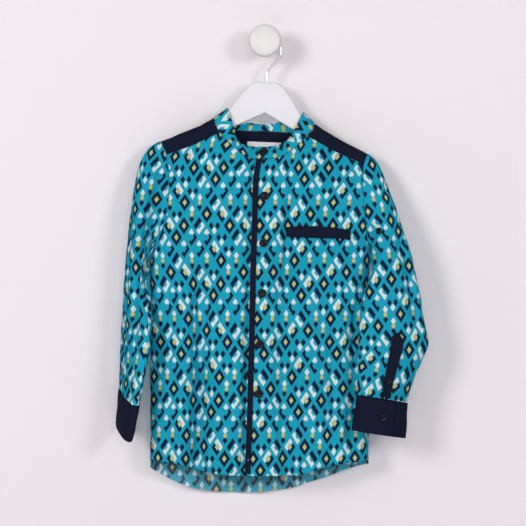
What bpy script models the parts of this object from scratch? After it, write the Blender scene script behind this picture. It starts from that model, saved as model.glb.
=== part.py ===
"""A child's mandarin collar shirt on a flat wooden hanger, hooked over a round wall knob.

Frame: metres, +X to the viewer's right, +Z up, +Y into the wall. The origin is the centre of the
knob's flat back face, so the wall is the plane Y = 0.

The tables and named sizes are in millimetres. In them, "out" is the distance from the wall,
"drop" is the distance below the origin and "left" is the viewer's left. Each cloth piece is a
surface worked out from the tables, with a wall of even thickness behind it.
"""

import math

import bmesh
import bpy
import numpy as np
from mathutils import Matrix, Vector

MM = 0.001
WALL = 1.5  # thickness of the cloth
SEAM = 0.3  # gap between two pieces at a seam, and under a piece that lies on another
LAP = WALL + 1.0  # how far the lower layer of the button lap is pushed in

TURQUOISE = (0.012, 0.30, 0.46)
NAVY = (0.010, 0.014, 0.045)
BUTTON_BLACK = (0.008, 0.008, 0.014)
WHITE_PAINT = (0.86, 0.85, 0.86)
STEEL = (0.72, 0.72, 0.74)
LABEL_WHITE = (0.80, 0.80, 0.82)


class Table:
    """Rows of sizes under named columns, each column read as a smooth curve over the first."""

    def __init__(self, columns, *rows):
        self.names = columns.split()
        data = np.array(rows, float)
        self.key = data[:, 0]
        self.curves = {}
        for place, name in enumerate(self.names[1:], 1):
            self.curves[name] = (data[:, place], self.slopes(data[:, place]))

    def slopes(self, values):
        """A slope at each row that never makes the curve overshoot its rows."""
        steps = np.diff(self.key)
        rises = np.diff(values) / steps
        slopes = np.empty(len(values))
        slopes[0], slopes[-1] = rises[0], rises[-1]
        for i in range(1, len(values) - 1):
            before, after = rises[i - 1], rises[i]
            slopes[i] = 0 if before * after <= 0 else 2 * before * after / (before + after)
        return slopes

    def __call__(self, name, key):
        values, slopes = self.curves[name]
        key = np.clip(np.asarray(key, float), self.key[0], self.key[-1])
        row = np.clip(np.searchsorted(self.key, key) - 1, 0, len(self.key) - 2)
        step = self.key[row + 1] - self.key[row]
        t = (key - self.key[row]) / step
        return (
            (1 + 2 * t) * (1 - t) ** 2 * values[row]
            + t * (1 - t) ** 2 * step * slopes[row]
            + t**2 * (3 - 2 * t) * values[row + 1]
            + t**2 * (t - 1) * step * slopes[row + 1]
        )


def smooth(t):
    """0 below 0, 1 above 1, and an even rise between them."""
    t = np.clip(t, 0, 1)
    return t * t * (3 - 2 * t)


# ---------------------------------------------------------------- hanger, hook and knob

TILT = math.radians(3.2)  # the hanger hangs with its right arm lower
HANGER_AT = (2.0, 51.0)  # x and drop of the middle of the hanger's top
HANGER_OUT = 20.0  # the middle of its thickness
HANGER_THICK = 9.6
HANGER_ROUND = 3.0  # radius of its edges
HANGER = Table(  # half of its outline, before it is tilted
    "reach top under",
    (0, 0.0, 39.0),
    (13, 0.0, 45.7),
    (21.5, 5.8, 50.1),
    (34, 21.2, 56.5),
    (45.4, 38.4, 62.4),
    (63.5, 53.2, 71.7),
    (83, 64.9, 81.8),
    (106, 76.2, 93.6),
    (118, 82.0, 97.5),
    (124, 86.5, 94.5),
)
HANGER_END = 124.0

KNOB_PROFILE = (  # radius and out, from the wall to the middle of the front face
    (15.0, 0.0),
    (15.0, 2.5),
    (13.8, 4.0),
    (8.0, 6.5),
    (6.5, 9.5),
    (6.5, 25.0),
    (8.0, 27.0),
    (18.6, 28.6),
    (20.3, 30.6),
    (20.5, 33.6),
    (20.0, 38.0),
    (18.4, 40.4),
    (12.0, 41.6),
    (0.0, 42.0),
)
STEM = 6.5  # radius of the knob's stem, which carries the hook

WIRE = 3.0  # diameter of the hook's wire
HOOK_ROUND = 19.5  # radius of its bend, to the middle of the wire
HOOK_CENTRE_X = 0.5
HOOK_TIP = math.radians(168)
HOOK_LAST = math.radians(-26)


def tilted(reach, low):
    """World x and drop of a point of the hanger, from its own sizes."""
    x = HANGER_AT[0] + reach * math.cos(TILT) - low * math.sin(TILT)
    drop = HANGER_AT[1] + low * math.cos(TILT) + reach * math.sin(TILT)
    return x, drop


# ------------------------------------------------------------------------- torso

RIDGE_ROUND = 8.8  # radius of the cloth over the hanger's edge
RIDGE_RISE = 2.1  # the cloth's outer face above its own table, measured upright
RIDGE_STATIONS = (0, 12, 24, 36, 48, 63.5, 83, 106, 128, 150, 190)
INNER_RIDGE = Table("reach top", (0, 29), (24, 33), (48, 41.5), (63.5, 50.8))
OUTER_RIDGE = Table("reach top", (63.5, 50.8), (83, 62.2), (106, 73.4), (128, 83.4), (190, 110))


def ridge_rows():
    """x and drop of the shoulder line of the outer cloth, from the left to the right."""
    for reach in sorted({side * station for station in RIDGE_STATIONS for side in (-1, 1)}):
        table = INNER_RIDGE if abs(reach) < 63.5 else OUTER_RIDGE
        x, drop = tilted(reach, float(table("top", abs(reach))))
        yield x, drop - RIDGE_RISE


RIDGE = Table("x drop", *ridge_rows())

TORSO = Table(  # middle, half width and side seam's place, from the neck down
    "drop centre half side_out",
    (60, -1, 235, 20),
    (130, -1, 225, 20),
    (165, -2, 196, 20.5),
    (200, -4, 172, 21.5),
    (240, -6, 152, 22.5),
    (278, -7, 138, 24),
    (340, -7, 137.5, 26),
    (450, -7, 137, 27),
    (600, -7, 137.5, 27),
)
DEPTH = Table(  # the cloth's distance before and behind the side seam, by its fall below the ridge
    "fall front back",
    (8.8, 8.8, 7.6),
    (21, 11.5, 8.0),
    (40, 18, 9.0),
    (70, 24.5, 11.5),
    (120, 29, 15.5),
    (200, 31, 19),
    (320, 29.5, 21),
    (500, 25, 22.5),
)
SIDE_POWER = 0.8  # 1 rounds the sides like an ellipse, less makes them fuller

FRONT_HEM = Table(
    "x drop",
    (-145, 524.5),
    (-123, 527.5),
    (-101, 531),
    (-88, 535.5),
    (-76, 539),
    (-57, 541.5),
    (-25, 543.7),
    (27, 543.5),
    (45, 542.5),
    (60, 537.5),
    (76, 532.7),
    (100, 529),
    (131, 525.5),
)
BACK_HEM = Table(
    "x drop",
    (-145, 535),
    (-140, 540),
    (-125, 548.5),
    (-113, 555),
    (-92, 563),
    (-70, 567),
    (-47, 569),
    (-24, 569.4),
    (16, 566.3),
    (40, 562.5),
    (58, 556),
    (77, 549.5),
    (95, 542.5),
    (113, 536),
    (131, 531),
)

ARMHOLE = Table(  # the seam where the sleeves are set in
    "fall left right",
    (0, -130.8, 129.2),
    (6, -128.5, 126.8),
    (18, -123.0, 123.5),
    (40, -120.0, 122.3),
    (66, -119.8, 122.8),
    (90, -122.5, 125.0),
    (115, -130, 127.6),
    (134, -138.5, 130.2),
    (151, -145.0, 131.0),
)
SIDE = {"left": -1, "right": 1}
ARM_TOP = {side: float(RIDGE("drop", ARMHOLE(side, 0))) for side in SIDE}
ARM_LOW = 278.0  # drop of both underarm points

FRONT_YOKE_FALL = {"left": 20.0, "right": 15.5}  # of the front yoke seam at the armholes
BACK_YOKE_DROP = 172.0  # of the back yoke seam at x = 0, which follows the hanger's tilt

NECKLINE = Table(  # once round: from the lower end at the front, by the left, the back and the right
    "way x ahead",  # ahead: forward of the shoulder line, measured over the cloth
    (0.00, 9.3, 73.0),
    (0.03, 1, 74.6),
    (0.06, -8, 75.2),
    (0.10, -20, 72.0),
    (0.14, -32, 62.5),
    (0.18, -45, 46.0),
    (0.22, -56.8, 27.0),
    (0.26, -62.5, 12.0),
    (0.30, -63.8, 0.0),
    (0.34, -59.5, -13.0),
    (0.39, -46, -26.0),
    (0.45, -27, -35.0),
    (0.52, -1, -38.5),
    (0.58, 24, -35.0),
    (0.64, 45, -25.0),
    (0.69, 58.0, -12.0),
    (0.73, 62.6, 0.0),
    (0.77, 60.5, 12.0),
    (0.81, 53.0, 26.5),
    (0.85, 42.5, 44.0),
    (0.89, 31, 58.0),
    (0.93, 18, 69.5),
    (0.97, 3, 74.7),
    (1.00, -10.7, 75.2),
)
NECK_GAP = 0.6
JOINT = {"left": 0.22, "right": 0.81}  # where the neckline passes from the fronts to the yoke
BEHIND = {"left": 0.37, "right": 0.66}  # its ways level with the corners of the yoke at the back

COLLAR_TOP = Table(  # the band's upper edge, and how far its middle bulges up and out
    "way x out drop bulge_out bulge_up",
    (0.00, 9.3, 37.0, 132.8, 0, 0),
    (0.03, 1, 37.3, 133.3, 0, 0),
    (0.06, -8, 37.3, 133.4, 1, 0),
    (0.10, -22, 36.0, 131.5, 2, 0),
    (0.14, -30.5, 34.0, 128.0, 2, 0),
    (0.18, -36.0, 31.5, 120.0, 2.0, 0),
    (0.22, -39.4, 30.0, 106.0, 2.0, 0.5),
    (0.26, -44.6, 28.8, 90.5, 1.5, 1),
    (0.30, -47.2, 20.0, 82.6, 0, 1.2),
    (0.34, -43.5, 9.0, 91, -1.0, 2),
    (0.39, -35, 5.0, 100.5, -1, 5),
    (0.45, -20, 3.6, 103.5, 0, 10),
    (0.52, -1, 3.2, 107.5, 0, 12),
    (0.58, 18, 3.6, 103.5, 0, 13),
    (0.64, 34, 5.0, 100.0, -1, 8),
    (0.69, 44.0, 9.0, 95.5, -1.0, 2),
    (0.73, 47.8, 20.0, 88.2, 0, 1.2),
    (0.77, 44.2, 28.8, 96.0, 1.5, 1),
    (0.81, 38.0, 30.0, 108.5, 2.0, 0.5),
    (0.85, 31.8, 31.5, 119.0, 2.0, 0),
    (0.89, 25.5, 33.8, 126.0, 2, 0),
    (0.93, 15, 36.5, 131.0, 2, 0),
    (0.97, 3, 38.8, 133.0, 1, 0),
    (1.00, -9.7, 39.2, 133.4, 0, 0),
)

FOLDS = (  # long soft folds of the fronts and the back. A negative depth is a ridge
    # face, top_drop, low_drop, top_x, middle_x, low_x, left, right, depth, fade
    (1, 200, 640, -78, -82, -90, 8, 13, 12.0, 160),
    (1, 235, 640, -100, -101, -106, 13, 8, -4.5, 90),
    (1, 165, 300, -133, -135, -138, 8, 8, 3.5, 50),
    (1, 205, 420, -68, -62, -58, 7, 9, 2.6, 80),
    (1, 300, 640, -22, -24, -29, 8, 8, 2.6, 120),
    (1, 168, 250, 29, 22, 12, 6, 6, -3.6, 30),
    (1, 178, 640, 37, 20, 41, 8, 10, 6.5, 60),
    (1, 300, 640, 60, 64, 66, 10, 10, -2.5, 90),
    (1, 290, 640, 110, 107, 104, 7, 7, 4.0, 70),
    (1, 330, 640, 83, 84, 86, 6, 8, 2.0, 80),
    (-1, 250, 640, -96, -92, -88, 12, 12, 4.5, 90),
    (-1, 220, 640, -48, -44, -46, 12, 12, -3.5, 110),
    (-1, 240, 640, 2, -4, -2, 12, 12, 4.5, 100),
    (-1, 260, 640, 55, 52, 48, 12, 12, -3.5, 110),
    (-1, 230, 640, 96, 92, 94, 11, 11, 4.0, 90),
)


def depth_of(column, fall):
    """The cloth's distance from the side seam's plane, rounded over the ridge."""
    round_part = np.sqrt(np.clip(1 - (1 - fall / RIDGE_ROUND) ** 2, 0, None))
    return np.where(fall < RIDGE_ROUND, round_part * DEPTH(column, 0), DEPTH(column, fall))


def fold_depth(face, x, drop):
    """How far the folds of this face push the cloth back towards the wall, or the other way."""
    total = np.zeros(np.shape(x))
    for side, top, low, top_x, middle_x, low_x, left, right, depth, fade in FOLDS:
        if side != face:
            continue
        t = np.clip((drop - top) / (low - top), 0, 1)
        bend = 2 * middle_x - (top_x + low_x) / 2
        line = (1 - t) ** 2 * top_x + 2 * t * (1 - t) * bend + t**2 * low_x
        width = np.where(x < line, left, right)
        reach = smooth((drop - top) / fade) * smooth((low - drop) / 40)
        total = total + depth * reach * np.exp(-(((x - line) / width) ** 2))
    return total


def torso(face, angle, drop, folds=True):
    """Outer cloth of the front (face 1) or the back (face -1). The angle is -90 degrees at the
    left side seam and 90 degrees at the right one."""
    x = TORSO("centre", drop) + TORSO("half", drop) * np.sin(angle)
    fullness = np.clip(np.cos(angle), 0, 1) ** SIDE_POWER
    return torso_at(face, x, drop, fullness, folds)


def torso_at(face, x, drop, fullness, folds=True):
    fall = drop - RIDGE("drop", x)
    depth = depth_of("front" if face > 0 else "back", fall) * fullness
    if folds:
        depth = depth - fold_depth(face, x, drop) * np.minimum(fullness * 1.4, 1)
    out = TORSO("side_out", drop) + face * depth
    return np.stack([x, out, drop], -1)


def fullness_at(x, drop):
    """torso()'s fullness for a place given by its x."""
    sine = (x - TORSO("centre", drop)) / TORSO("half", drop)
    return np.clip(1 - sine**2, 0, 1) ** (SIDE_POWER / 2)


def fall_of(ahead):
    """How far a place lies below the shoulder line, by its distance from it over the cloth."""
    quarter = RIDGE_ROUND * math.pi / 2
    reach = np.abs(ahead)
    bend = RIDGE_ROUND * (1 - np.cos(np.minimum(reach, quarter) / RIDGE_ROUND))
    return bend + np.maximum(reach - quarter, 0)


def ahead_of(fall):
    """The other way round from fall_of(), for a place below the bend."""
    return RIDGE_ROUND * (math.pi / 2 - 1) + fall


def over(x, ahead):
    """Outer cloth by its x and the distance in front of (or, below 0, behind) the shoulder line."""
    x, ahead = np.broadcast_arrays(np.asarray(x, float), np.asarray(ahead, float))
    drop = RIDGE("drop", x) + fall_of(ahead)
    fullness = fullness_at(x, drop)
    front = torso_at(1, x, drop, fullness)
    back = torso_at(-1, x, drop, fullness)
    return np.where((ahead >= 0)[..., None], front, back)


def angle_at(x, drop):
    """The torso angle of a place given by its x."""
    sine = (x - TORSO("centre", drop)) / TORSO("half", drop)
    return np.arcsin(np.clip(sine, -1, 1))


def arm_x(side, drop):
    """x of the armhole seam."""
    scale = (ARM_LOW - ARM_TOP[side]) / ARMHOLE.key[-1]
    return ARMHOLE(side, (np.asarray(drop, float) - ARM_TOP[side]) / scale)


def arm_place(side, fall):
    """x and drop of the armhole seam, by its fall below the shoulder line there."""
    x = ARMHOLE(side, 0) + np.zeros(np.shape(fall))
    for _ in range(12):
        drop = RIDGE("drop", x) + fall
        x = (x + arm_x(side, drop)) / 2
    return x, drop


# --------------------------------------------------------------------- mesh helpers


def metres(points):
    """Scene coordinates of (x, out, drop) in millimetres."""
    return np.stack([points[..., 0], -points[..., 1], -points[..., 2]], -1) * MM


def unit(vectors):
    return vectors / np.maximum(np.linalg.norm(vectors, axis=-1, keepdims=True), 1e-12)


def inward(surface, u, v, towards):
    """Unit vectors into the cloth, square to the surface. `towards` is 1 or -1 and says which of
    its two sides the wall is on."""
    step = 1e-4
    along_u = surface(np.clip(u + step, 0, 1), v) - surface(np.clip(u - step, 0, 1), v)
    along_v = surface(u, np.clip(v + step, 0, 1)) - surface(u, np.clip(v - step, 0, 1))
    return unit(np.cross(along_u, along_v)) * towards


def moved_out(surface, towards, distance):
    """The same surface, moved out of the cloth: for a piece that lies on another."""
    return lambda u, v: surface(u, v) - distance * inward(surface, u, v, towards)


def spread(count, centres=(), gain=1.6, width=0.07):
    """Places from 0 to 1 for count columns or rows, closer together near the given centres."""
    fine = np.linspace(0, 1, 401)
    density = 1 + sum(gain * np.exp(-(((fine - centre) / width) ** 2)) for centre in centres)
    density = density * np.ones(len(fine))
    total = np.concatenate([[0], np.cumsum((density[1:] + density[:-1]) / 2)])
    return np.interp(np.linspace(0, 1, count + 1), total / total[-1], fine)


def add(name, mesh, colour, roughness=0.9, metallic=0.0):
    """The bmesh as a named object with its own material."""
    bmesh.ops.recalc_face_normals(mesh, faces=mesh.faces)
    data = bpy.data.meshes.new(name)
    mesh.to_mesh(data)
    mesh.free()
    data.shade_smooth()
    data.set_sharp_from_angle(angle=math.radians(50))
    return link(name, data, colour, roughness, metallic)


def link(name, data, colour, roughness, metallic):
    thing = bpy.data.objects.new(name, data)
    bpy.context.scene.collection.objects.link(thing)
    material = bpy.data.materials.new(name)
    material.use_nodes = True
    shader = material.node_tree.nodes["Principled BSDF"]
    shader.inputs["Base Color"].default_value = (*colour, 1)
    shader.inputs["Roughness"].default_value = roughness
    shader.inputs["Metallic"].default_value = metallic
    data.materials.append(material)
    return thing


def cloth(name, surface, towards, columns, rows, colour, plain=None, ring=False, wall=WALL):
    """A piece of cloth. surface(u, v) is its outer face, for u and v from 0 to 1, and `plain` is
    the same face without folds, which sets the direction of the wall. `columns` and `rows` are the
    places in u and v of the mesh's lines. A ring is closed in u."""
    mesh = bmesh.new()
    bmesh.ops.create_grid(mesh, x_segments=len(columns) - 1, y_segments=len(rows) - 1, size=0.5)
    if ring:
        for vertex in mesh.verts:
            turn = 2 * math.pi * (vertex.co.x + 0.5)
            vertex.co = (math.cos(turn), math.sin(turn), vertex.co.y)
        bmesh.ops.remove_doubles(mesh, verts=mesh.verts, dist=1e-4)
    made = bmesh.ops.extrude_face_region(mesh, geom=mesh.faces[:])["geom"]
    inner = {part for part in made if isinstance(part, bmesh.types.BMVert)}
    places = np.array([tuple(vertex.co) for vertex in mesh.verts])
    if ring:
        u = (np.arctan2(places[:, 1], places[:, 0]) / (2 * math.pi)) % 1
        v = places[:, 2] + 0.5
    else:
        u, v = places[:, 0] + 0.5, places[:, 1] + 0.5
    u = np.interp(u, np.linspace(0, 1, len(columns)), columns)
    v = np.interp(v, np.linspace(0, 1, len(rows)), rows)
    deep = np.array([vertex in inner for vertex in mesh.verts])
    wall_way = inward(plain or surface, u, v, towards)
    points = metres(surface(u, v) + wall * deep[:, None] * wall_way)
    for vertex, point in zip(mesh.verts, points):
        vertex.co = point
    return add(name, mesh, colour)


# ------------------------------------------------------------- fronts, their strip and the welt

EDGE = Table(  # left edge of the lapping front, which carries the strip
    "drop x",
    (149, -10.7),
    (175, -14.8),
    (231, -16.6),
    (275, -18.0),
    (400, -20.6),
    (474, -22.6),
    (545, -25.2),
)
UNDERLAP = 20.0  # how far the lower front runs on under the upper one
LAP_RAMP = 7.0  # over which it sinks, ending LAP_CLEAR before the upper one's edge
LAP_CLEAR = 3.0
YOKE_SHARE = 0.44  # the share of a front's upper edge that lies along the yoke
STRIP_WIDTH = 6.6
STRIP_END = 0.993  # the share of the front's length where it ends
THIN = 1.0  # wall of the pieces that lie on another
WELT = Table(  # the pocket's welt, from its left end to its right one
    "along x top low",
    (0, 26.0, 233.8, 246.0),
    (0.4, 58.5, 232.8, 247.6),
    (0.9, 99.0, 236.5, 249.0),
    (1, 106.5, 238.6, 250.0),
)


def hidden(x, drop):
    """1 where the lower layer of the button lap is under the upper one, and 0 beside it."""
    return smooth((x - EDGE("x", drop) + LAP_RAMP + LAP_CLEAR) / LAP_RAMP)


def neckline(way):
    """x and drop of the neckline."""
    x = NECKLINE("x", way)
    return x, RIDGE("drop", x) + fall_of(NECKLINE("ahead", way))


def yoke_seam(side, along):
    """x and drop of the front yoke seam, from the armhole (0) to the neckline (1)."""
    start_x = float(arm_place(side, FRONT_YOKE_FALL[side])[0])
    start_ahead = ahead_of(FRONT_YOKE_FALL[side])
    x = start_x + (NECKLINE("x", JOINT[side]) - start_x) * along
    ahead = start_ahead + (NECKLINE("ahead", JOINT[side]) - start_ahead) * along
    return x, RIDGE("drop", x) + fall_of(ahead)


def front_top(side, u):
    """x and drop of a front's upper edge: u runs from the armhole to the button edge."""
    seam_x, seam_drop = yoke_seam(side, np.clip(u / YOKE_SHARE, 0, 1))
    along_neck = np.clip((u - YOKE_SHARE) / (1 - YOKE_SHARE), 0, 1)
    last = 0.0 if side == "left" else 1.0
    neck_x, neck_drop = neckline(JOINT[side] + (last - JOINT[side]) * along_neck)
    at_yoke = u <= YOKE_SHARE
    return (
        np.where(at_yoke, seam_x, neck_x),
        np.where(at_yoke, seam_drop + 1.5 * SEAM, neck_drop + NECK_GAP),
    )


def side_angle(side, drop):
    """The torso angle of the armhole seam and, below it, of the side seam."""
    seam = angle_at(arm_x(side, drop), drop)
    return np.where(drop < ARM_LOW, seam, SIDE[side] * math.pi / 2)


def button_angle(side, drop):
    """The torso angle of a front's free edge."""
    past = UNDERLAP if side == "left" else 0.0
    return angle_at(EDGE("x", drop) + past, drop)


def front(side):
    """The outer face of a front, and the places of its columns: u runs from its side to its
    button edge, v from top to hem."""
    stations = np.linspace(0, 1, 401)
    top_x, top_drop = front_top(side, stations)
    start = side_angle(side, top_drop)
    end = button_angle(side, top_drop)
    share = (angle_at(top_x, top_drop) - start) / (end - start)
    share = np.maximum.accumulate(np.clip(share, 0, 1))
    share[0], share[-1] = 0, 1

    def surface(u, v, folds=True):
        begin = np.interp(u, share, top_drop)
        low = FRONT_HEM("drop", 0)
        low_angle = SIDE[side] * math.pi / 2 * (1 - u) + button_angle(side, low) * u
        low_x = TORSO("centre", low) + TORSO("half", low) * np.sin(low_angle)
        drop = begin + (FRONT_HEM("drop", low_x) - begin) * v
        near = side_angle(side, drop)
        points = torso(1, near + (button_angle(side, drop) - near) * u, drop, folds)
        points[..., 1] += SEAM / 2
        if side == "left":
            points[..., 1] -= LAP * hidden(points[..., 0], drop)
        return points

    along_yoke = np.linspace(0, YOKE_SHARE, YOKE_COLUMNS + 1)[:-1]
    along_neck = np.linspace(YOKE_SHARE, 1, NECK_COLUMNS + 1)
    columns = np.interp(np.concatenate([along_yoke, along_neck]), stations, share)
    return surface, columns


def front_face(x, drop):
    """The upper layer's outer face by x and drop."""
    points = torso_at(1, x, drop, fullness_at(x, drop))
    points[..., 1] += SEAM / 2
    return points


FRONT_ROWS = spread(20)
YOKE_COLUMNS, NECK_COLUMNS = 8, 12  # of each front's upper edge


def make_fronts():
    for side, name in (("left", "front_right"), ("right", "front_left")):
        face, columns = front(side)
        cloth(
            name,
            face,
            -SIDE[side],
            columns,
            FRONT_ROWS,
            TURQUOISE,
            plain=lambda u, v, face=face: face(u, v, folds=False),
        )


def make_strip():
    """The navy strip down the edge of the lapping front, made from that front's own points."""
    front_piece = front("right")[0]
    face = moved_out(front_piece, -1, THIN + SEAM + 0.1)
    near = 0.02  # a share of the front's width

    def surface(u, v):
        v = v * STRIP_END
        last = np.ones(np.shape(v))
        width = np.linalg.norm(front_piece(last, v) - front_piece(last - near, v), axis=-1)
        return face(1 - (1 - u) * near * STRIP_WIDTH / width, v)

    cloth("front_strip", surface, -1, spread(2), FRONT_ROWS, NAVY, wall=THIN)


def make_welt():
    def face(u, v):
        top, low = WELT("top", u), WELT("low", u)
        return front_face(WELT("x", u), top + (low - top) * v)

    raised = moved_out(face, 1, THIN + 4 * SEAM)
    cloth("pocket_welt", raised, 1, spread(20), spread(2), NAVY, wall=THIN)


# ------------------------------------------------------------------ back, yoke and label


def back_seam(x):
    return BACK_YOKE_DROP + x * math.tan(TILT)


def back(u, v, folds=True):
    """The back's outer face: u from the left side to the right, v from the yoke to the hem."""
    high, low = BACK_YOKE_DROP, BACK_HEM("drop", 0)
    low_x = TORSO("centre", low) + TORSO("half", low) * np.sin(-math.pi / 2 + math.pi * u)
    ends = [float(angle_at(arm_x(side, high), high)) for side in SIDE]
    top = TORSO("centre", high) + TORSO("half", high) * np.sin(ends[0] + (ends[1] - ends[0]) * u)
    begin = back_seam(top) + SEAM / 2
    drop = begin + (BACK_HEM("drop", low_x) - begin) * v
    near, far = side_angle("left", drop), side_angle("right", drop)
    points = torso(-1, near + (far - near) * u, drop, folds)
    points[..., 1] -= SEAM / 2
    return points


def yoke_corner(side):
    """x and distance ahead of the corner where the back yoke seam meets the armhole."""
    x = ARMHOLE(side, 0)
    for _ in range(12):
        x = (x + arm_place(side, back_seam(x) - SEAM / 2 - RIDGE("drop", x))[0]) / 2
    return float(x), -float(ahead_of(back_seam(x) - SEAM / 2 - RIDGE("drop", x)))


def yoke(u, v):
    """The yoke's outer face, in the shape of a horseshoe: u runs along the neckline, as its way
    from one front seam to the other, and v from the neckline out to the armholes and the back."""
    step = 1e-3
    x, ahead = NECKLINE("x", u), NECKLINE("ahead", u)
    run_x = NECKLINE("x", u + step) - NECKLINE("x", u - step)
    run_ahead = NECKLINE("ahead", u + step) - NECKLINE("ahead", u - step)
    length = np.hypot(run_x, run_ahead)
    corners = {side: yoke_corner(side) for side in SIDE}
    behind = (u - BEHIND["left"]) / (BEHIND["right"] - BEHIND["left"])
    far_x = corners["left"][0] + (corners["right"][0] - corners["left"][0]) * behind
    far_ahead = -ahead_of(back_seam(far_x) - SEAM / 2 - RIDGE("drop", far_x))
    for side in SIDE:
        front_near, back_near = (
            float(NECKLINE("ahead", way[side])) for way in (JOINT, BEHIND)
        )
        front_far = ahead_of(FRONT_YOKE_FALL[side] - SEAM / 2)
        front_part = ahead + (front_far - front_near) * (ahead / front_near) ** 3
        back_part = ahead + (corners[side][1] - back_near) * (ahead / back_near) ** 3
        arm_ahead = np.where(ahead > 0, front_part, back_part)
        there = u < BEHIND["left"] if side == "left" else u > BEHIND["right"]
        far_x = np.where(there, arm_place(side, fall_of(arm_ahead))[0], far_x)
        far_ahead = np.where(there, arm_ahead, far_ahead)
    x = x + NECK_GAP * run_ahead / length
    ahead = ahead - NECK_GAP * run_x / length
    return over(x + (far_x - x) * v, ahead + (far_ahead - ahead) * v)


def neck_stations():
    """The ways round the neckline where all the pieces that meet there have their mesh lines."""
    parts = (
        (0, JOINT["left"], NECK_COLUMNS, ()),
        (JOINT["left"], BEHIND["left"], 12, (0.5,)),
        (BEHIND["left"], BEHIND["right"], 12, ()),
        (BEHIND["right"], JOINT["right"], 12, (0.5,)),
        (JOINT["right"], 1, NECK_COLUMNS, ()),
    )
    return [first + (last - first) * spread(count, near, 0.8, 0.3) for first, last, count, near in parts]


def make_back_and_yoke():
    cloth(
        "back",
        back,
        -1,
        spread(20),
        spread(16),
        TURQUOISE,
        plain=lambda u, v: back(u, v, folds=False),
    )
    columns = np.unique(np.concatenate(neck_stations()[1:-1]))
    cloth("yoke", yoke, -1, columns, spread(8), NAVY)


LABEL_WIDTH, LABEL_HIGH, LABEL_TOP = 43.0, 20.0, 126.0
LABEL_LEAN = 0.04


def make_label():
    """The label on the yoke's inner face."""

    def surface(u, v):
        x = -1.0 + LABEL_WIDTH * (u - 0.5)
        drop = LABEL_TOP + LABEL_HIGH * v + LABEL_LEAN * x
        points = torso_at(-1, x, drop, fullness_at(x, drop))
        points[..., 1] += WALL + SEAM + THIN
        return points

    cloth("neck_label", surface, 1, spread(6), spread(2), LABEL_WHITE, wall=THIN * 0.9)


# ---------------------------------------------------------------------------- collar


def collar(u, v):
    """The band's outer face: u once round the neck with the lap, v from the seam upwards."""
    x, ahead = NECKLINE("x", u), NECKLINE("ahead", u)
    seam = over(x, ahead)
    seam[..., 1] += SEAM / 2
    top = np.stack([COLLAR_TOP(name, u) for name in ("x", "out", "drop")], -1)
    bulge = np.stack([0 * u, COLLAR_TOP("bulge_out", u), -COLLAR_TOP("bulge_up", u)], -1)
    middle = (seam + top) / 2 + bulge
    v = v[..., None]
    points = (1 - v) ** 2 * seam + 2 * v * (1 - v) * middle + v**2 * top
    under = hidden(points[..., 0], 149.0) * (1 - smooth((u - 0.2) / 0.1))
    points[..., 1] -= LAP * under
    return points


def make_collar():
    columns = np.unique(np.concatenate(neck_stations()))
    cloth("collar", collar, 1, columns, spread(4), TURQUOISE)


# --------------------------------------------------------------- sleeves, plackets, cuffs

SLEEVES = {  # each row is a section, given by its outer and inner ends, half its thickness and
    # the direction of that: 0 is straight ahead and 90 to the side
    "left": Table(
        "way outer_x outer_out outer_drop inner_x inner_out inner_drop thick turn",
        (0.00, -139.5, 20, 129.6, -149.0, 25, 281, 17, 0),
        (0.06, -146.0, 20.5, 133.0, -149.4, 26, 283, 18, 0),
        (0.12, -153.5, 22, 139.5, -149.6, 28, 287, 19, 2),
        (0.18, -159.0, 23, 154, -150.0, 33, 292, 19, 5),
        (0.25, -162.0, 23, 172, -149.5, 38, 300, 18, 10),
        (0.35, -166.0, 20, 203, -147.5, 47, 312, 16.5, 20),
        (0.48, -170.0, 16, 250, -145.5, 56, 330, 15, 36),
        (0.62, -174.0, 13, 305, -144.5, 66, 355, 13.5, 52),
        (0.75, -177.0, 11, 350, -145.5, 71, 384, 13, 60),
        (0.88, -180.0, 11, 398, -151.5, 72, 420, 11, 64),
        (1.00, -181.3, 12, 432.5, -157.7, 71, 455.0, 9.3, 67),
        (1.13, -184.3, 10, 477.0, -167.0, 72, 500.0, 8.6, 68),
    ),
    "right": Table(
        "way outer_x outer_out outer_drop inner_x inner_out inner_drop thick turn",
        (0.00, 137.5, 20, 146.0, 134.4, 25, 280, 17, 0),
        (0.06, 143.5, 20.5, 151.5, 135.2, 27, 282, 18, 0),
        (0.12, 149.5, 23, 163, 135.4, 33, 285, 19, 0),
        (0.19, 155.0, 27, 182, 133.5, 40, 291, 19, 0),
        (0.27, 162.5, 32, 206, 129.5, 46, 300, 19, 2),
        (0.36, 171.0, 37, 232, 125.0, 51, 312, 18.5, 4),
        (0.48, 183.0, 41, 270, 120.5, 54, 328, 18, 6),
        (0.60, 192.0, 43, 312, 118.0, 55, 346, 18, 8),
        (0.72, 198.5, 44, 350, 116.5, 55, 366, 17.5, 9),
        (0.80, 203.7, 45, 379.5, 116.0, 56, 384, 16.5, 10),
        (0.87, 194.0, 46, 404, 115.5, 57, 402, 16, 10),
        (1.00, 177.5, 47, 452, 113.7, 59, 442, 15.3, 11),
        (1.13, 175.3, 47, 497.0, 107.0, 61, 486.0, 14.5, 11),
    ),
}
SLEEVE_FOLDS = (  # long soft folds of the sleeves. A negative depth is a ridge
    # side, turn, from_way, to_way, width, depth
    ("left", 0.33, 0.08, 0.72, 0.03, 8.0),
    ("left", 0.20, 0.35, 1.10, 0.03, 1.6),
    ("left", 0.42, 0.40, 1.10, 0.03, -1.6),
    ("left", 0.72, 0.20, 0.95, 0.05, 2.5),
    ("right", 0.13, 0.30, 0.80, 0.028, 3.6),
    ("right", 0.07, 0.32, 0.80, 0.028, -1.6),
    ("right", 0.34, 0.10, 0.62, 0.035, 2.2),
    ("right", 0.40, 0.55, 1.10, 0.03, 2.0),
    ("right", 0.70, 0.20, 0.95, 0.05, 2.5),
)
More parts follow.
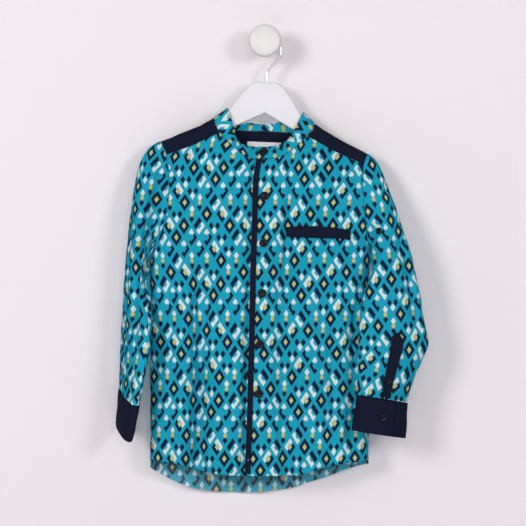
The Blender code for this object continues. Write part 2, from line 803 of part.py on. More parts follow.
SLEEVE_WALL = 1.2  # thinner than the rest, for the tight turn under the arm
ARM_GAP = 1.1  # between the body and the sleeve
ARM_BLEND = 0.26  # the way over which a sleeve passes from its armhole to its own sections


def section(table, side, u, way):
    """A point of a sleeve's section: u is 0 at its outer end, 1/4 in front, 1/2 at its inner end.
    It also returns the direction of the thickness."""
    outer, inner = (
        np.stack([table(f"{end}_{name}", way) for name in ("x", "out", "drop")], -1)
        for end in ("outer", "inner")
    )
    half = (outer - inner) / 2
    turn = np.radians(table("turn", way))
    across = np.stack([SIDE[side] * np.sin(turn), np.cos(turn), 0 * turn], -1)
    along = unit(half)
    across = unit(across - along * np.sum(across * along, -1, keepdims=True))
    round_way = (2 * math.pi * u)[..., None]
    thick = table("thick", way)[..., None]
    point = (outer + inner) / 2 + half * np.cos(round_way) + across * thick * np.sin(round_way)
    return point, across


def armhole(side, u):
    """The armhole's loop, u as in section()."""
    turn = 2 * math.pi * u
    drop = ARM_TOP[side] + (ARM_LOW - ARM_TOP[side]) * (1 - np.cos(turn)) / 2
    x = arm_x(side, drop)
    fullness = fullness_at(x, drop)
    front_side, back_side = (torso_at(face, x, drop, fullness) for face in (1, -1))
    points = np.where((np.sin(turn) >= 0)[..., None], front_side, back_side)
    points[..., 0] += SIDE[side] * ARM_GAP
    return points


def sleeve(side):
    def surface(u, v, folds=True):
        points, across = section(SLEEVES[side], side, u, v)
        if folds:
            for fold_side, turn, start, end, width, depth in SLEEVE_FOLDS:
                if fold_side != side:
                    continue
                reach = smooth((v - start) / 0.12) * smooth((end - v) / 0.12)
                shape = np.exp(-(((u - turn) / width) ** 2))
                front_side = 1 if turn < 0.5 else -1
                points = points - front_side * depth * (reach * shape)[..., None] * across
        blend = 1 - (1 - np.clip(v / ARM_BLEND, 0, 1)[..., None]) ** 2
        return armhole(side, u) * (1 - blend) + points * blend

    return surface


PLACKETS = {  # where on the sleeve each lies, and half its width as a share of the way round
    "left": (0.86, 0.75, 0.03),
    "right": (0.246, 0.745, 0.028),
}
CUFF_LAPS = {"left": 0.80, "right": 0.19}  # where the upper end of each cuff lies, as section()'s u
CUFF_OVERLAP = 0.13
CUFF_RAMP = 0.06
CUFF_TOP, CUFF_LOW = 1.003, 1.13  # ways of its edges
CUFF_LIFT = 0.3  # how far it stands out of the sleeve's sections
CUFF_LAP = WALL + 0.7  # and its upper end over its lower one


def cuff(side):
    """A cuff's outer face: its upper end is at u = 0, and its lower end lies under that."""

    def seated(u, v):
        along = CUFF_TOP + (CUFF_LOW - CUFF_TOP) * v
        return section(SLEEVES[side], side, (CUFF_LAPS[side] + u * (1 + CUFF_OVERLAP)) % 1, along)[0]

    def surface(u, v):
        past = u * (1 + CUFF_OVERLAP) - CUFF_OVERLAP
        raised = CUFF_LIFT + CUFF_LAP * (1 - smooth(past / CUFF_RAMP))
        return seated(u, v) - raised[..., None] * inward(seated, u, v, -SIDE[side])

    return surface


def make_sleeves():
    for side, worn in (("left", "right"), ("right", "left")):
        towards = 1 if side == "left" else -1
        face = sleeve(side)
        cloth(
            f"sleeve_{worn}",
            face,
            towards,
            spread(26, (0.5,), 1.0, 0.08),
            spread(17, (0.1,), 0.8, 0.15),
            TURQUOISE,
            plain=lambda u, v, face=face: face(u, v, folds=False),
            ring=True,
            wall=SLEEVE_WALL,
        )
        cloth(f"cuff_{worn}", cuff(side), towards, spread(30), spread(3), NAVY)
        make_placket(f"placket_{worn}", side, face, towards)


def make_placket(name, side, face, towards):
    """A navy strip on the sleeve, from its pointed upper end down to the cuff."""
    turn, top, half = PLACKETS[side]

    def lower(u, v):
        way = top + (0.994 - top) * v
        return face(turn + (2 * u - 1) * half * (0.4 + 0.6 * smooth(v / 0.12)), way)

    raised = moved_out(lower, towards, THIN + 2 * SEAM)
    cloth(name, raised, towards, spread(4), spread(10, (0.05,), 1, 0.1), NAVY, wall=THIN)


# --------------------------------------------------------------------------- buttons

BUTTON = (  # a button's profile: radius and height, for one 10.8 mm across
    (0.0, 0.0),
    (4.6, 0.0),
    (5.4, 1.0),
    (4.8, 2.1),
    (4.0, 1.9),
    (3.5, 1.3),
    (0.0, 1.2),
)
BUTTON_SIZE = 10.8
FRONT_BUTTONS = (  # x and drop
    (-0.4, 195.2),
    (-1.6, 253.9),
    (-3.6, 316.2),
    (-6.0, 379.6),
    (-7.5, 441.0),
)
COLLAR_BUTTON = (0.98, 0.55)  # u and v on the collar
PLACKET_BUTTON = (0.247, 0.935)  # u and v on the right sleeve
TAB_BUTTON = (0.270, 0.188)
BUTTON_SIZES = {"collar": 10.2, "cuff": 9.4, "placket": 6.5, "tab": 8.8}
BUTTON_GAP = 0.4


def turned(profile, sides, scale=1.0):
    """A closed shape turned round the Z axis from its profile, in metres."""
    mesh = bmesh.new()
    points = [mesh.verts.new((radius * scale * MM, 0, high * MM)) for radius, high in profile]
    edges = [mesh.edges.new(pair) for pair in zip(points, points[1:])]
    bmesh.ops.spin(
        mesh,
        geom=points + edges,
        axis=(0, 0, 1),
        cent=(0, 0, 0),
        angle=2 * math.pi,
        steps=sides,
        use_merge=True,
    )
    bmesh.ops.remove_doubles(mesh, verts=mesh.verts, dist=1e-6)
    return mesh


def place(mesh, point, outward):
    """Moves a turned shape so that its axis points outward from the point, both in table terms."""
    outward = metres(np.array(outward)) / MM
    rotation = Vector(outward).to_track_quat("Z", "Y").to_matrix().to_4x4()
    bmesh.ops.transform(
        mesh,
        matrix=Matrix.Translation(Vector(metres(np.array(point)))) @ rotation,
        verts=mesh.verts,
    )


def make_button(name, surface, u, v, towards, size=BUTTON_SIZE, gap=BUTTON_GAP):
    u, v = np.array([float(u)]), np.array([float(v)])
    outward = -inward(surface, u, v, towards)[0]
    mesh = turned(BUTTON, 14, size / BUTTON_SIZE)
    place(mesh, surface(u, v)[0] + outward * gap, outward)
    add(name, mesh, BUTTON_BLACK, 0.25)


def make_buttons():
    make_button("button_1", collar, *COLLAR_BUTTON, 1, BUTTON_SIZES["collar"])
    for number, (x, drop) in enumerate(FRONT_BUTTONS, 2):

        def face(u, v, x=x, drop=drop):
            return front_face(x + (u - 0.5) * 8, drop + (v - 0.5) * 8)

        make_button(f"button_{number}", face, 0.5, 0.5, 1)
    for side, worn in (("left", "right"), ("right", "left")):
        towards = 1 if side == "left" else -1
        lap = 0.5 * CUFF_OVERLAP / (1 + CUFF_OVERLAP)
        make_button(f"cuff_button_{worn}", cuff(side), lap, 0.5, towards, BUTTON_SIZES["cuff"])
    face = sleeve("right")
    over_placket = THIN + 3 * SEAM
    make_button(
        "placket_button_left", face, *PLACKET_BUTTON, -1, BUTTON_SIZES["placket"], over_placket
    )
    make_button("tab_button_left", face, *TAB_BUTTON, -1, BUTTON_SIZES["tab"])


# ------------------------------------------------------------------ hanger, hook, knob


def make_hanger():
    mesh = bmesh.new()
    bmesh.ops.create_grid(mesh, x_segments=28, y_segments=1, size=0.5)
    for vertex in mesh.verts:
        reach = 2 * vertex.co.x * HANGER_END
        top, under = HANGER("top", abs(reach)), HANGER("under", abs(reach))
        x, drop = tilted(reach, float(top + (under - top) * (vertex.co.y + 0.5)))
        vertex.co = metres(np.array((x, HANGER_OUT - HANGER_THICK / 2, drop)))
    made = bmesh.ops.extrude_face_region(mesh, geom=mesh.faces[:])["geom"]
    lifted = [part for part in made if isinstance(part, bmesh.types.BMVert)]
    bmesh.ops.translate(mesh, verts=lifted, vec=(0, -HANGER_THICK * MM, 0))
    bmesh.ops.recalc_face_normals(mesh, faces=mesh.faces)
    rims = [edge for edge in mesh.edges if edge.calc_face_angle(0) > math.radians(60)]
    bmesh.ops.bevel(
        mesh,
        geom=rims,
        offset=HANGER_ROUND * MM,
        segments=2,
        profile=0.5,
        affect="EDGES",
        material=-1,
        clamp_overlap=True,
    )
    add("hanger", mesh, WHITE_PAINT, 0.45)


def hook_points():
    """x and drop along the hook's wire, from its tip over the knob's stem to the hanger."""
    rest = STEM + SEAM + WIRE / 2
    centre = (HOOK_CENTRE_X, HOOK_ROUND - rest)
    for step in range(23):
        angle = HOOK_TIP + (HOOK_LAST - HOOK_TIP) * step / 22
        yield centre[0] + HOOK_ROUND * math.cos(angle), centre[1] - HOOK_ROUND * math.sin(angle)
    last = (
        centre[0] + HOOK_ROUND * math.cos(HOOK_LAST),
        centre[1] - HOOK_ROUND * math.sin(HOOK_LAST),
    )
    way = (math.sin(HOOK_LAST), math.cos(HOOK_LAST))
    foot_x = HANGER_AT[0] + 0.5
    foot = HANGER_AT[1] - SEAM
    bend = (
        last,
        (last[0] + 9 * way[0], last[1] + 9 * way[1]),
        (foot_x, foot - 19),
        (foot_x, foot - 9),
    )
    for step in range(1, 11):
        t = step / 10
        yield tuple(
            (1 - t) ** 3 * a + 3 * t * (1 - t) ** 2 * b + 3 * t**2 * (1 - t) * c + t**3 * d
            for a, b, c, d in zip(*bend)
        )
    yield foot_x, foot


def make_hook():
    curve = bpy.data.curves.new("hook", "CURVE")
    curve.dimensions = "3D"
    curve.bevel_depth = WIRE / 2 * MM
    curve.bevel_resolution = 2
    curve.use_fill_caps = True
    points = list(hook_points())
    spline = curve.splines.new("POLY")
    spline.points.add(len(points) - 1)
    for point, (x, drop) in zip(spline.points, points):
        point.co = (*metres(np.array((x, HANGER_OUT, drop))), 1)
    link("hook", curve, STEEL, 0.2, 1.0)


def make_knob():
    mesh = turned([(0.0, 0.0), *KNOB_PROFILE], 28)
    place(mesh, (0, 0, 0), (0, 1, 0))
    add("wall_knob", mesh, WHITE_PAINT, 0.35)


# -------------------------------------------------------------------- run the model


def clear_scene():
    for thing in list(bpy.data.objects):
        bpy.data.objects.remove(thing)


clear_scene()
make_fronts()
make_strip()
make_welt()
make_back_and_yoke()
make_label()
make_collar()
make_sleeves()
make_buttons()
make_hanger()
make_hook()
make_knob()
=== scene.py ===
"""Looks of a child's mandarin collar shirt on a flat wooden hanger, hooked over a round wall knob.

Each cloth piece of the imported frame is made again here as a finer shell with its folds, creases,
hems and stitches. Its surface comes from the same named sizes as the solid that it replaces.
Sizes and tables are in millimetres: "out" is the distance from the wall, "drop" is the distance
below the knob's centre and "left" is the viewer's left. Materials and lights are in metres.
"""

import math

import bmesh
import bpy
import numpy as np
from mathutils import Matrix, Vector


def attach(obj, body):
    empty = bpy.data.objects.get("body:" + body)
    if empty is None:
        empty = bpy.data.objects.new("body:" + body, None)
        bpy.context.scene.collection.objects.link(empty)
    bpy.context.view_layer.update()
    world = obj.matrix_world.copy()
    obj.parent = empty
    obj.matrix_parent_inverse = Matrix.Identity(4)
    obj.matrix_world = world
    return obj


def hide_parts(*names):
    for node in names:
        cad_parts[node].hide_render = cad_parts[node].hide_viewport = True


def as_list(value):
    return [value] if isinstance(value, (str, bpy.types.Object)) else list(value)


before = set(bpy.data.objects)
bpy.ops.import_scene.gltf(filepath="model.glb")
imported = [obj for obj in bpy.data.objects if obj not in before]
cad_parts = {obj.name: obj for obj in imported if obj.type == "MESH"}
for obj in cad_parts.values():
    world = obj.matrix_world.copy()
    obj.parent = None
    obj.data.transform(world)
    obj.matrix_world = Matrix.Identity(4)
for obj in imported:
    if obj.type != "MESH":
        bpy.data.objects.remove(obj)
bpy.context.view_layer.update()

MM = 0.001
WALL = 1.5  # thickness of the solids' cloth
CLOTH = 1.1  # thickness of the cloth as it shows
SEAM = 0.3
LAP = WALL + 1.0  # how far the lower layer of the button lap is pushed in


class Table:
    """Rows of sizes under named columns, each column read as a smooth curve over the first."""

    def __init__(self, columns, *rows):
        self.names = columns.split()
        data = np.array(rows, float)
        self.key = data[:, 0]
        self.curves = {}
        for place, name in enumerate(self.names[1:], 1):
            self.curves[name] = (data[:, place], self.slopes(data[:, place]))

    def slopes(self, values):
        """A slope at each row that never makes the curve overshoot its rows."""
        rises = np.diff(values) / np.diff(self.key)
        before, after = rises[:-1], rises[1:]
        level = before * after <= 0
        inner = 2 * before * after / np.where(level, 1, before + after)
        return np.concatenate([rises[:1], np.where(level, 0, inner), rises[-1:]])

    def __call__(self, name, key):
        values, slopes = self.curves[name]
        key = np.clip(np.asarray(key, float), self.key[0], self.key[-1])
        row = np.clip(np.searchsorted(self.key, key) - 1, 0, len(self.key) - 2)
        step = self.key[row + 1] - self.key[row]
        t = (key - self.key[row]) / step
        return (
            (1 + 2 * t) * (1 - t) ** 2 * values[row]
            + t * (1 - t) ** 2 * step * slopes[row]
            + t**2 * (3 - 2 * t) * values[row + 1]
            + t**2 * (t - 1) * step * slopes[row + 1]
        )


def smooth(t):
    """0 below 0, 1 above 1, and an even rise between them."""
    t = np.clip(t, 0, 1)
    return t * t * (3 - 2 * t)


# ------------ hanger, hook and knob

TILT = math.radians(3.2)  # the hanger hangs with its right arm lower
HANGER_AT = (2.0, 51.0)  # x and drop of the middle of the hanger's top
HANGER_OUT = 20.0  # the middle of its thickness
HANGER_THICK = 9.6
HANGER_ROUND = 3.0  # radius of its edges
HANGER = Table(  # half of its outline, before it is tilted
    "reach top under",
    (0, 0.0, 39.0), (13, 0.0, 45.7), (21.5, 5.8, 50.1), (34, 21.2, 56.5), (45.4, 38.4, 62.4),
    (63.5, 53.2, 71.7), (83, 64.9, 81.8), (106, 76.2, 93.6), (118, 82.0, 97.5), (124, 86.5, 94.5),
)
HANGER_END = 124.0

KNOB_PROFILE = (  # radius and out, from the wall to the middle of the front face
    (15.0, 0.0), (15.0, 2.5), (13.8, 4.0), (8.0, 6.5), (6.5, 9.5), (6.5, 25.0), (8.0, 27.0),
    (18.6, 28.6), (20.3, 30.6), (20.5, 33.6), (20.0, 38.0), (18.4, 40.4), (12.0, 41.6), (0.0, 42.0),
)
STEM = 6.5  # radius of the knob's stem, which carries the hook

WIRE = 3.0  # diameter of the hook's wire
HOOK_ROUND = 19.5  # radius of its bend, to the middle of the wire
HOOK_CENTRE_X = 0.5
HOOK_TIP = math.radians(168)
HOOK_LAST = math.radians(-26)


def tilted(reach, low):
    """World x and drop of a point of the hanger, from its own sizes."""
    x = HANGER_AT[0] + reach * math.cos(TILT) - low * math.sin(TILT)
    drop = HANGER_AT[1] + low * math.cos(TILT) + reach * math.sin(TILT)
    return x, drop


# ------------ torso

RIDGE_ROUND = 8.8  # radius of the cloth over the hanger's edge
RIDGE_RISE = 2.1  # the cloth's outer face above its own table, measured upright
RIDGE_STATIONS = (0, 12, 24, 36, 48, 63.5, 83, 106, 128, 150, 190)
INNER_RIDGE = Table("reach top", (0, 29), (24, 33), (48, 41.5), (63.5, 50.8))
OUTER_RIDGE = Table("reach top", (63.5, 50.8), (83, 62.2), (106, 73.4), (128, 83.4), (190, 110))


def ridge_rows():
    """x and drop of the shoulder line of the outer cloth, from the left to the right."""
    for reach in sorted({side * station for station in RIDGE_STATIONS for side in (-1, 1)}):
        table = INNER_RIDGE if abs(reach) < 63.5 else OUTER_RIDGE
        x, drop = tilted(reach, float(table("top", abs(reach))))
        yield x, drop - RIDGE_RISE


RIDGE = Table("x drop", *ridge_rows())

TORSO = Table(  # middle, half width and side seam's place, from the neck down
    "drop centre half side_out",
    (60, -1, 235, 20), (130, -1, 225, 20), (165, -2, 196, 20.5), (200, -4, 172, 21.5),
    (240, -6, 152, 22.5), (278, -7, 138, 24), (340, -7, 137.5, 26), (450, -7, 137, 27),
    (600, -7, 137.5, 27),
)
DEPTH = Table(  # the cloth's distance before and behind the side seam, by its fall below the ridge
    "fall front back",
    (8.8, 8.8, 7.6), (21, 11.5, 8.0), (40, 18, 9.0), (70, 24.5, 11.5), (120, 29, 15.5),
    (200, 31, 19), (320, 29.5, 21), (500, 25, 22.5),
)
SIDE_POWER = 0.8  # 1 rounds the sides like an ellipse, less makes them fuller

FRONT_HEM = Table(
    "x drop", (-145, 524.5), (-123, 527.5), (-101, 531), (-88, 535.5), (-76, 539), (-57, 541.5),
    (-25, 543.7), (27, 543.5), (45, 542.5), (60, 537.5), (76, 532.7), (100, 529), (131, 525.5),
)
BACK_HEM = Table(
    "x drop", (-145, 535), (-140, 540), (-125, 548.5), (-113, 555), (-92, 563), (-70, 567),
    (-47, 569), (-24, 569.4), (16, 566.3), (40, 562.5), (58, 556), (77, 549.5), (95, 542.5),
    (113, 536), (131, 531),
)

ARMHOLE = Table(  # the seam where the sleeves are set in
    "fall left right",
    (0, -130.8, 129.2), (6, -128.5, 126.8), (18, -123.0, 123.5), (40, -120.0, 122.3),
    (66, -119.8, 122.8), (90, -122.5, 125.0), (115, -130, 127.6), (134, -138.5, 130.2),
    (151, -145.0, 131.0),
)
SIDE = {"left": -1, "right": 1}
ARM_TOP = {side: float(RIDGE("drop", ARMHOLE(side, 0))) for side in SIDE}
ARM_LOW = 278.0  # drop of both underarm points

FRONT_YOKE_FALL = {"left": 20.0, "right": 15.5}  # of the front yoke seam at the armholes
BACK_YOKE_DROP = 172.0  # of the back yoke seam at x = 0, which follows the hanger's tilt

NECKLINE = Table(  # once round, from its lower end at the front by the left, the back and the right
    "way x ahead",  # ahead: forward of the shoulder line, measured over the cloth
    (0.00, 9.3, 73.0), (0.03, 1, 74.6), (0.06, -8, 75.2), (0.10, -20, 72.0), (0.14, -32, 62.5),
    (0.18, -45, 46.0), (0.22, -56.8, 27.0), (0.26, -62.5, 12.0), (0.30, -63.8, 0.0),
    (0.34, -59.5, -13.0), (0.39, -46, -26.0), (0.45, -27, -35.0), (0.52, -1, -38.5),
    (0.58, 24, -35.0), (0.64, 45, -25.0), (0.69, 58.0, -12.0), (0.73, 62.6, 0.0),
    (0.77, 60.5, 12.0), (0.81, 53.0, 26.5), (0.85, 42.5, 44.0), (0.89, 31, 58.0), (0.93, 18, 69.5),
    (0.97, 3, 74.7), (1.00, -10.7, 75.2),
)
NECK_GAP = 0.6
JOINT = {"left": 0.22, "right": 0.81}  # where the neckline passes from the fronts to the yoke
BEHIND = {"left": 0.37, "right": 0.66}  # its ways level with the corners of the yoke at the back

COLLAR_TOP = Table(  # the band's upper edge, and how far its middle bulges up and out
    "way x out drop bulge_out bulge_up",
    (0.00, 9.3, 37.0, 132.8, 0, 0), (0.03, 1, 37.3, 133.3, 0, 0), (0.06, -8, 37.3, 133.4, 1, 0),
    (0.10, -22, 36.0, 131.5, 2, 0), (0.14, -30.5, 34.0, 128.0, 2, 0),
    (0.18, -36.0, 31.5, 120.0, 2.0, 0), (0.22, -39.4, 30.0, 106.0, 2.0, 0.5),
    (0.26, -44.6, 28.8, 90.5, 1.5, 1), (0.30, -47.2, 20.0, 82.6, 0, 1.2),
    (0.34, -43.5, 9.0, 91, -1.0, 2), (0.39, -35, 5.0, 100.5, -1, 5), (0.45, -20, 3.6, 103.5, 0, 10),
    (0.52, -1, 3.2, 107.5, 0, 12), (0.58, 18, 3.6, 103.5, 0, 13), (0.64, 34, 5.0, 100.0, -1, 8),
    (0.69, 44.0, 9.0, 95.5, -1.0, 2), (0.73, 47.8, 20.0, 88.2, 0, 1.2),
    (0.77, 44.2, 28.8, 96.0, 1.5, 1), (0.81, 38.0, 30.0, 108.5, 2.0, 0.5),
    (0.85, 31.8, 31.5, 119.0, 2.0, 0), (0.89, 25.5, 33.8, 126.0, 2, 0),
    (0.93, 15, 36.5, 131.0, 2, 0), (0.97, 3, 38.8, 133.0, 1, 0), (1.00, -9.7, 39.2, 133.4, 0, 0),
)

FOLDS = (  # long soft folds of the fronts and the back. A negative depth is a ridge
    # face, top_drop, low_drop, top_x, middle_x, low_x, left, right, depth, fade
    (1, 200, 640, -78, -82, -90, 8, 13, 12.0, 160),
    (1, 235, 640, -100, -101, -106, 13, 8, -4.5, 90),
    (1, 165, 300, -133, -135, -138, 8, 8, 3.5, 50),
    (1, 205, 420, -68, -62, -58, 7, 9, 2.6, 80), (1, 300, 640, -22, -24, -29, 8, 8, 2.6, 120),
    (1, 168, 250, 29, 22, 12, 6, 6, -3.6, 30), (1, 178, 640, 37, 20, 41, 8, 10, 6.5, 60),
    (1, 300, 640, 60, 64, 66, 10, 10, -2.5, 90), (1, 290, 640, 110, 107, 104, 7, 7, 4.0, 70),
    (1, 330, 640, 83, 84, 86, 6, 8, 2.0, 80),
    (-1, 250, 640, -96, -92, -88, 12, 12, 4.5, 90),
    (-1, 220, 640, -48, -44, -46, 12, 12, -3.5, 110),
    (-1, 240, 640, 2, -4, -2, 12, 12, 4.5, 100), (-1, 260, 640, 55, 52, 48, 12, 12, -3.5, 110),
    (-1, 230, 640, 96, 92, 94, 11, 11, 4.0, 90),
)


def depth_of(column, fall):
    """The cloth's distance from the side seam's plane, rounded over the ridge."""
    round_part = np.sqrt(np.clip(1 - (1 - fall / RIDGE_ROUND) ** 2, 0, None))
    return np.where(fall < RIDGE_ROUND, round_part * DEPTH(column, 0), DEPTH(column, fall))


def fold_depth(face, x, drop):
    """How far the folds of this face push the cloth back towards the wall, or the other way."""
    total = np.zeros(np.shape(x))
    for side, top, low, top_x, middle_x, low_x, left, right, depth, fade in FOLDS:
        if side != face:
            continue
        t = np.clip((drop - top) / (low - top), 0, 1)
        bend = 2 * middle_x - (top_x + low_x) / 2
        line = (1 - t) ** 2 * top_x + 2 * t * (1 - t) * bend + t**2 * low_x
        width = np.where(x < line, left, right)
        reach = smooth((drop - top) / fade) * smooth((low - drop) / 40)
        total = total + depth * reach * np.exp(-(((x - line) / width) ** 2))
    return total


def torso(face, angle, drop, folds=True):
    """Outer cloth of the front (face 1) or the back (face -1). The angle is -90 degrees at the
    left side seam and 90 degrees at the right one."""
    x = TORSO("centre", drop) + TORSO("half", drop) * np.sin(angle)
    fullness = np.clip(np.cos(angle), 0, 1) ** SIDE_POWER
    return torso_at(face, x, drop, fullness, folds)


def torso_at(face, x, drop, fullness, folds=True):
    fall = drop - RIDGE("drop", x)
    depth = depth_of("front" if face > 0 else "back", fall) * fullness
    if folds:
        depth = depth - fold_depth(face, x, drop) * np.minimum(fullness * 1.4, 1)
    out = TORSO("side_out", drop) + face * depth
    return np.stack([x, out, drop], -1)


def fullness_at(x, drop):
    """torso()'s fullness for a place given by its x."""
    sine = (x - TORSO("centre", drop)) / TORSO("half", drop)
    return np.clip(1 - sine**2, 0, 1) ** (SIDE_POWER / 2)


def fall_of(ahead):
    """How far a place lies below the shoulder line, by its distance from it over the cloth."""
    quarter = RIDGE_ROUND * math.pi / 2
    reach = np.abs(ahead)
    bend = RIDGE_ROUND * (1 - np.cos(np.minimum(reach, quarter) / RIDGE_ROUND))
    return bend + np.maximum(reach - quarter, 0)


def ahead_of(fall):
    """The other way round from fall_of(), for a place below the bend."""
    return RIDGE_ROUND * (math.pi / 2 - 1) + fall


def over(x, ahead):
    """Outer cloth by its x and the distance in front of (or, below 0, behind) the shoulder line."""
    x, ahead = np.broadcast_arrays(np.asarray(x, float), np.asarray(ahead, float))
    drop = RIDGE("drop", x) + fall_of(ahead)
    fullness = fullness_at(x, drop)
    front = torso_at(1, x, drop, fullness)
    back = torso_at(-1, x, drop, fullness)
    return np.where((ahead >= 0)[..., None], front, back)


def angle_at(x, drop):
    """The torso angle of a place given by its x."""
    sine = (x - TORSO("centre", drop)) / TORSO("half", drop)
    return np.arcsin(np.clip(sine, -1, 1))


def arm_x(side, drop):
    """x of the armhole seam."""
    scale = (ARM_LOW - ARM_TOP[side]) / ARMHOLE.key[-1]
    return ARMHOLE(side, (np.asarray(drop, float) - ARM_TOP[side]) / scale)


def arm_place(side, fall):
    """x and drop of the armhole seam, by its fall below the shoulder line there."""
    x = ARMHOLE(side, 0) + np.zeros(np.shape(fall))
    for _ in range(12):
        drop = RIDGE("drop", x) + fall
        x = (x + arm_x(side, drop)) / 2
    return x, drop


# ------------ finishes


class Nodes:
    """Short words for building one node tree."""

    def __init__(self, tree):
        self.tree = tree

    def put(self, kind, *values, **settings):
        """A new node with its settings, and with values or links for its first inputs."""
        node = self.tree.nodes.new("ShaderNode" + kind)
        for name, value in settings.items():
            setattr(node, name, value)
        for socket, value in zip(node.inputs, values):
            self.feed(socket, value)
        return node

    def feed(self, socket, value):
        if isinstance(value, bpy.types.NodeSocket):
            self.tree.links.new(value, socket)
        elif value is not None:
            socket.default_value = value

    def math(self, operation, *values):
        return self.put("Math", *values, operation=operation).outputs[0]

    def mix(self, share, first, second, blend="MIX"):
        """Two colours mixed by a share."""
        node = self.put("Mix", share, data_type="RGBA", blend_type=blend)
        self.feed(node.inputs[6], first)
        self.feed(node.inputs[7], second)
        return node.outputs[2]

    def noise(self, vector, scale, detail=2.0, roughness=0.5):
        node = self.put("TexNoise", vector)
        for name, value in (("Scale", scale), ("Detail", detail), ("Roughness", roughness)):
            self.feed(node.inputs[name], value)
        return node.outputs["Fac"]

    def stretched(self, vector, scale):
        return self.put("Mapping", vector, None, None, scale).outputs[0]

    def place(self):
        return self.put("TexCoord").outputs["Object"]

    def group(self, tree, **values):
        node = self.put("Group", node_tree=tree)
        for name, value in values.items():
            self.feed(node.inputs[name], value)
        return node.outputs


SOCKETS = {"colour": "NodeSocketColor", "vector": "NodeSocketVector", "number": "NodeSocketFloat"}


def group(name, takes, gives):
    """A node group with sockets named in two texts by kind, with its tree's helper, inputs and
    outputs."""
    tree = bpy.data.node_groups.new(name, "ShaderNodeTree")
    for way, sockets in (("INPUT", takes), ("OUTPUT", gives)):
        for kind, names in sockets.items():
            for socket in names.split():
                tree.interface.new_socket(name=socket, in_out=way, socket_type=SOCKETS[kind])
    ends = [tree.nodes.new(kind) for kind in ("NodeGroupInput", "NodeGroupOutput")]
    return tree, Nodes(tree), ends[0].outputs, ends[1].inputs


REPEAT = 5  # cells after which the print repeats
DOT, RING, GAP = 0.13, 0.16, 0.045  # the print's dot and ring, and the gap between its halves


def print_group():
    """A plain lozenge print: slanting lanes of the ground colour, and in each cell between them
    one of six simple fillings, picked by the cell's place in the repeat."""
    takes = {"vector": "Cloth", "number": "Wide High Lane", "colour": "Ground Dark Light Accent"}
    tree, n, given, result = group("lozenge_print", takes, {"colour": "Colour"})
    split = n.put("SeparateXYZ", given["Cloth"]).outputs
    x, y = n.math("DIVIDE", split["X"], given["Wide"]), n.math("DIVIDE", split["Y"], given["High"])
    slants = (n.math("ADD", x, y), n.math("SUBTRACT", x, y))
    cells = [n.math("FLOOR", slant) for slant in slants]
    a, b = (n.math("SUBTRACT", n.math("SUBTRACT", *pair), 0.5) for pair in zip(slants, cells))
    turn = n.put("CombineXYZ", *(n.math("FLOORED_MODULO", cell, float(REPEAT)) for cell in cells))
    pick = n.put("TexWhiteNoise", turn.outputs[0], noise_dimensions="2D").outputs["Value"]

    from_middle = n.math("MAXIMUM", n.math("ABSOLUTE", a), n.math("ABSOLUTE", b))
    edge = n.math("SUBTRACT", 0.5, n.math("MULTIPLY", given["Lane"], 0.5))
    inside = n.math("LESS_THAN", from_middle, edge)
    dot, ring = n.math("LESS_THAN", from_middle, DOT), n.math("GREATER_THAN", from_middle, RING)
    low_a, low_b = (n.math("LESS_THAN", slant, -GAP) for slant in (a, b))
    high_a, high_b = (n.math("GREATER_THAN", slant, GAP) for slant in (a, b))

    def both(first, second):
        return n.math("MULTIPLY", first, second)

    ends = n.math("MAXIMUM", both(low_a, low_b), both(high_a, high_b))
    fillings = (  # share of the cells, what is dark, what is light, what is the accent
        (0.24, both(ring, low_a), both(ring, high_a), dot),
        (0.20, both(ring, high_b), both(both(ring, low_b), high_a), None),
        (0.16, ring, None, dot), (0.16, ends, both(low_a, high_b), None),
        (0.12, low_b, both(ring, high_b), None),
        (0.12, both(low_a, high_b), both(high_a, low_b), dot),
    )
    painted = {"Dark": 0.0, "Light": 0.0, "Accent": 0.0}
    start = 0.0
    for share, *masks in fillings:
        chosen = both(n.math("GREATER_THAN", pick, start), n.math("LESS_THAN", pick, start + share))
        start += share
        for name, mask in zip(painted, masks):
            if mask is not None:
                painted[name] = n.math("MULTIPLY_ADD", chosen, mask, painted[name])
    colour = given["Ground"]
    for name, mask in painted.items():
        colour = n.mix(both(mask, inside), colour, given[name])
    n.feed(result["Colour"], colour)
    return tree


def weave_group():
    """Plain weave: how high the threads stand, and its tone: painted shade where the threads dip
    and painted highlight on their crowns, with real streaks of uneven yarn.
    """
    takes = {"vector": "Cloth", "number": "Thread"}
    tree, n, given, result = group("plain_weave", takes, {"number": "Height Tone"})
    split = n.put("SeparateXYZ", given["Cloth"]).outputs
    ways = [n.math("DIVIDE", split[name], given["Thread"]) for name in "XY"]
    waves = [n.math("SINE", n.math("MULTIPLY", way, math.pi)) for way in ways]
    warp, weft = (n.math("ABSOLUTE", wave) for wave in waves)
    count = n.math("ADD", *(n.math("FLOOR", way) for way in ways))
    odd = n.math("FLOORED_MODULO", count, 2.0)
    height = n.math("MULTIPLY_ADD", odd, n.math("SUBTRACT", warp, weft), weft)
    streak = n.noise(n.stretched(given["Cloth"], (900, 60, 1)), 1.0, 1.0)
    # painted shade and highlight: darker where the threads dip, lighter on their crowns; the
    # streaks are real uneven yarn
    tone = n.math("ADD", n.math("MULTIPLY", height, 0.16), n.math("MULTIPLY", streak, 0.22))
    n.feed(result["Height"], height)
    n.feed(result["Tone"], n.math("ADD", tone, 0.80))
    return tree


def rumple_group():
    """Soft rumples of worn and hung cloth, and the slow change of tone over it."""
    takes = {"vector": "Place", "number": "Size"}
    tree, n, given, result = group("rumples", takes, {"number": "Height Tone"})
    broad = n.noise(n.stretched(given["Place"], (1.0, 1.0, 0.45)), given["Size"], 2.0, 0.45)
    fine = n.noise(given["Place"], n.math("MULTIPLY", given["Size"], 4.2), 1.0)
    n.feed(result["Height"], n.math("MULTIPLY_ADD", fine, 0.12, broad))
    n.feed(result["Tone"], n.math("MULTIPLY_ADD", n.noise(given["Place"], 9.0), 0.14, 0.93))
    return tree


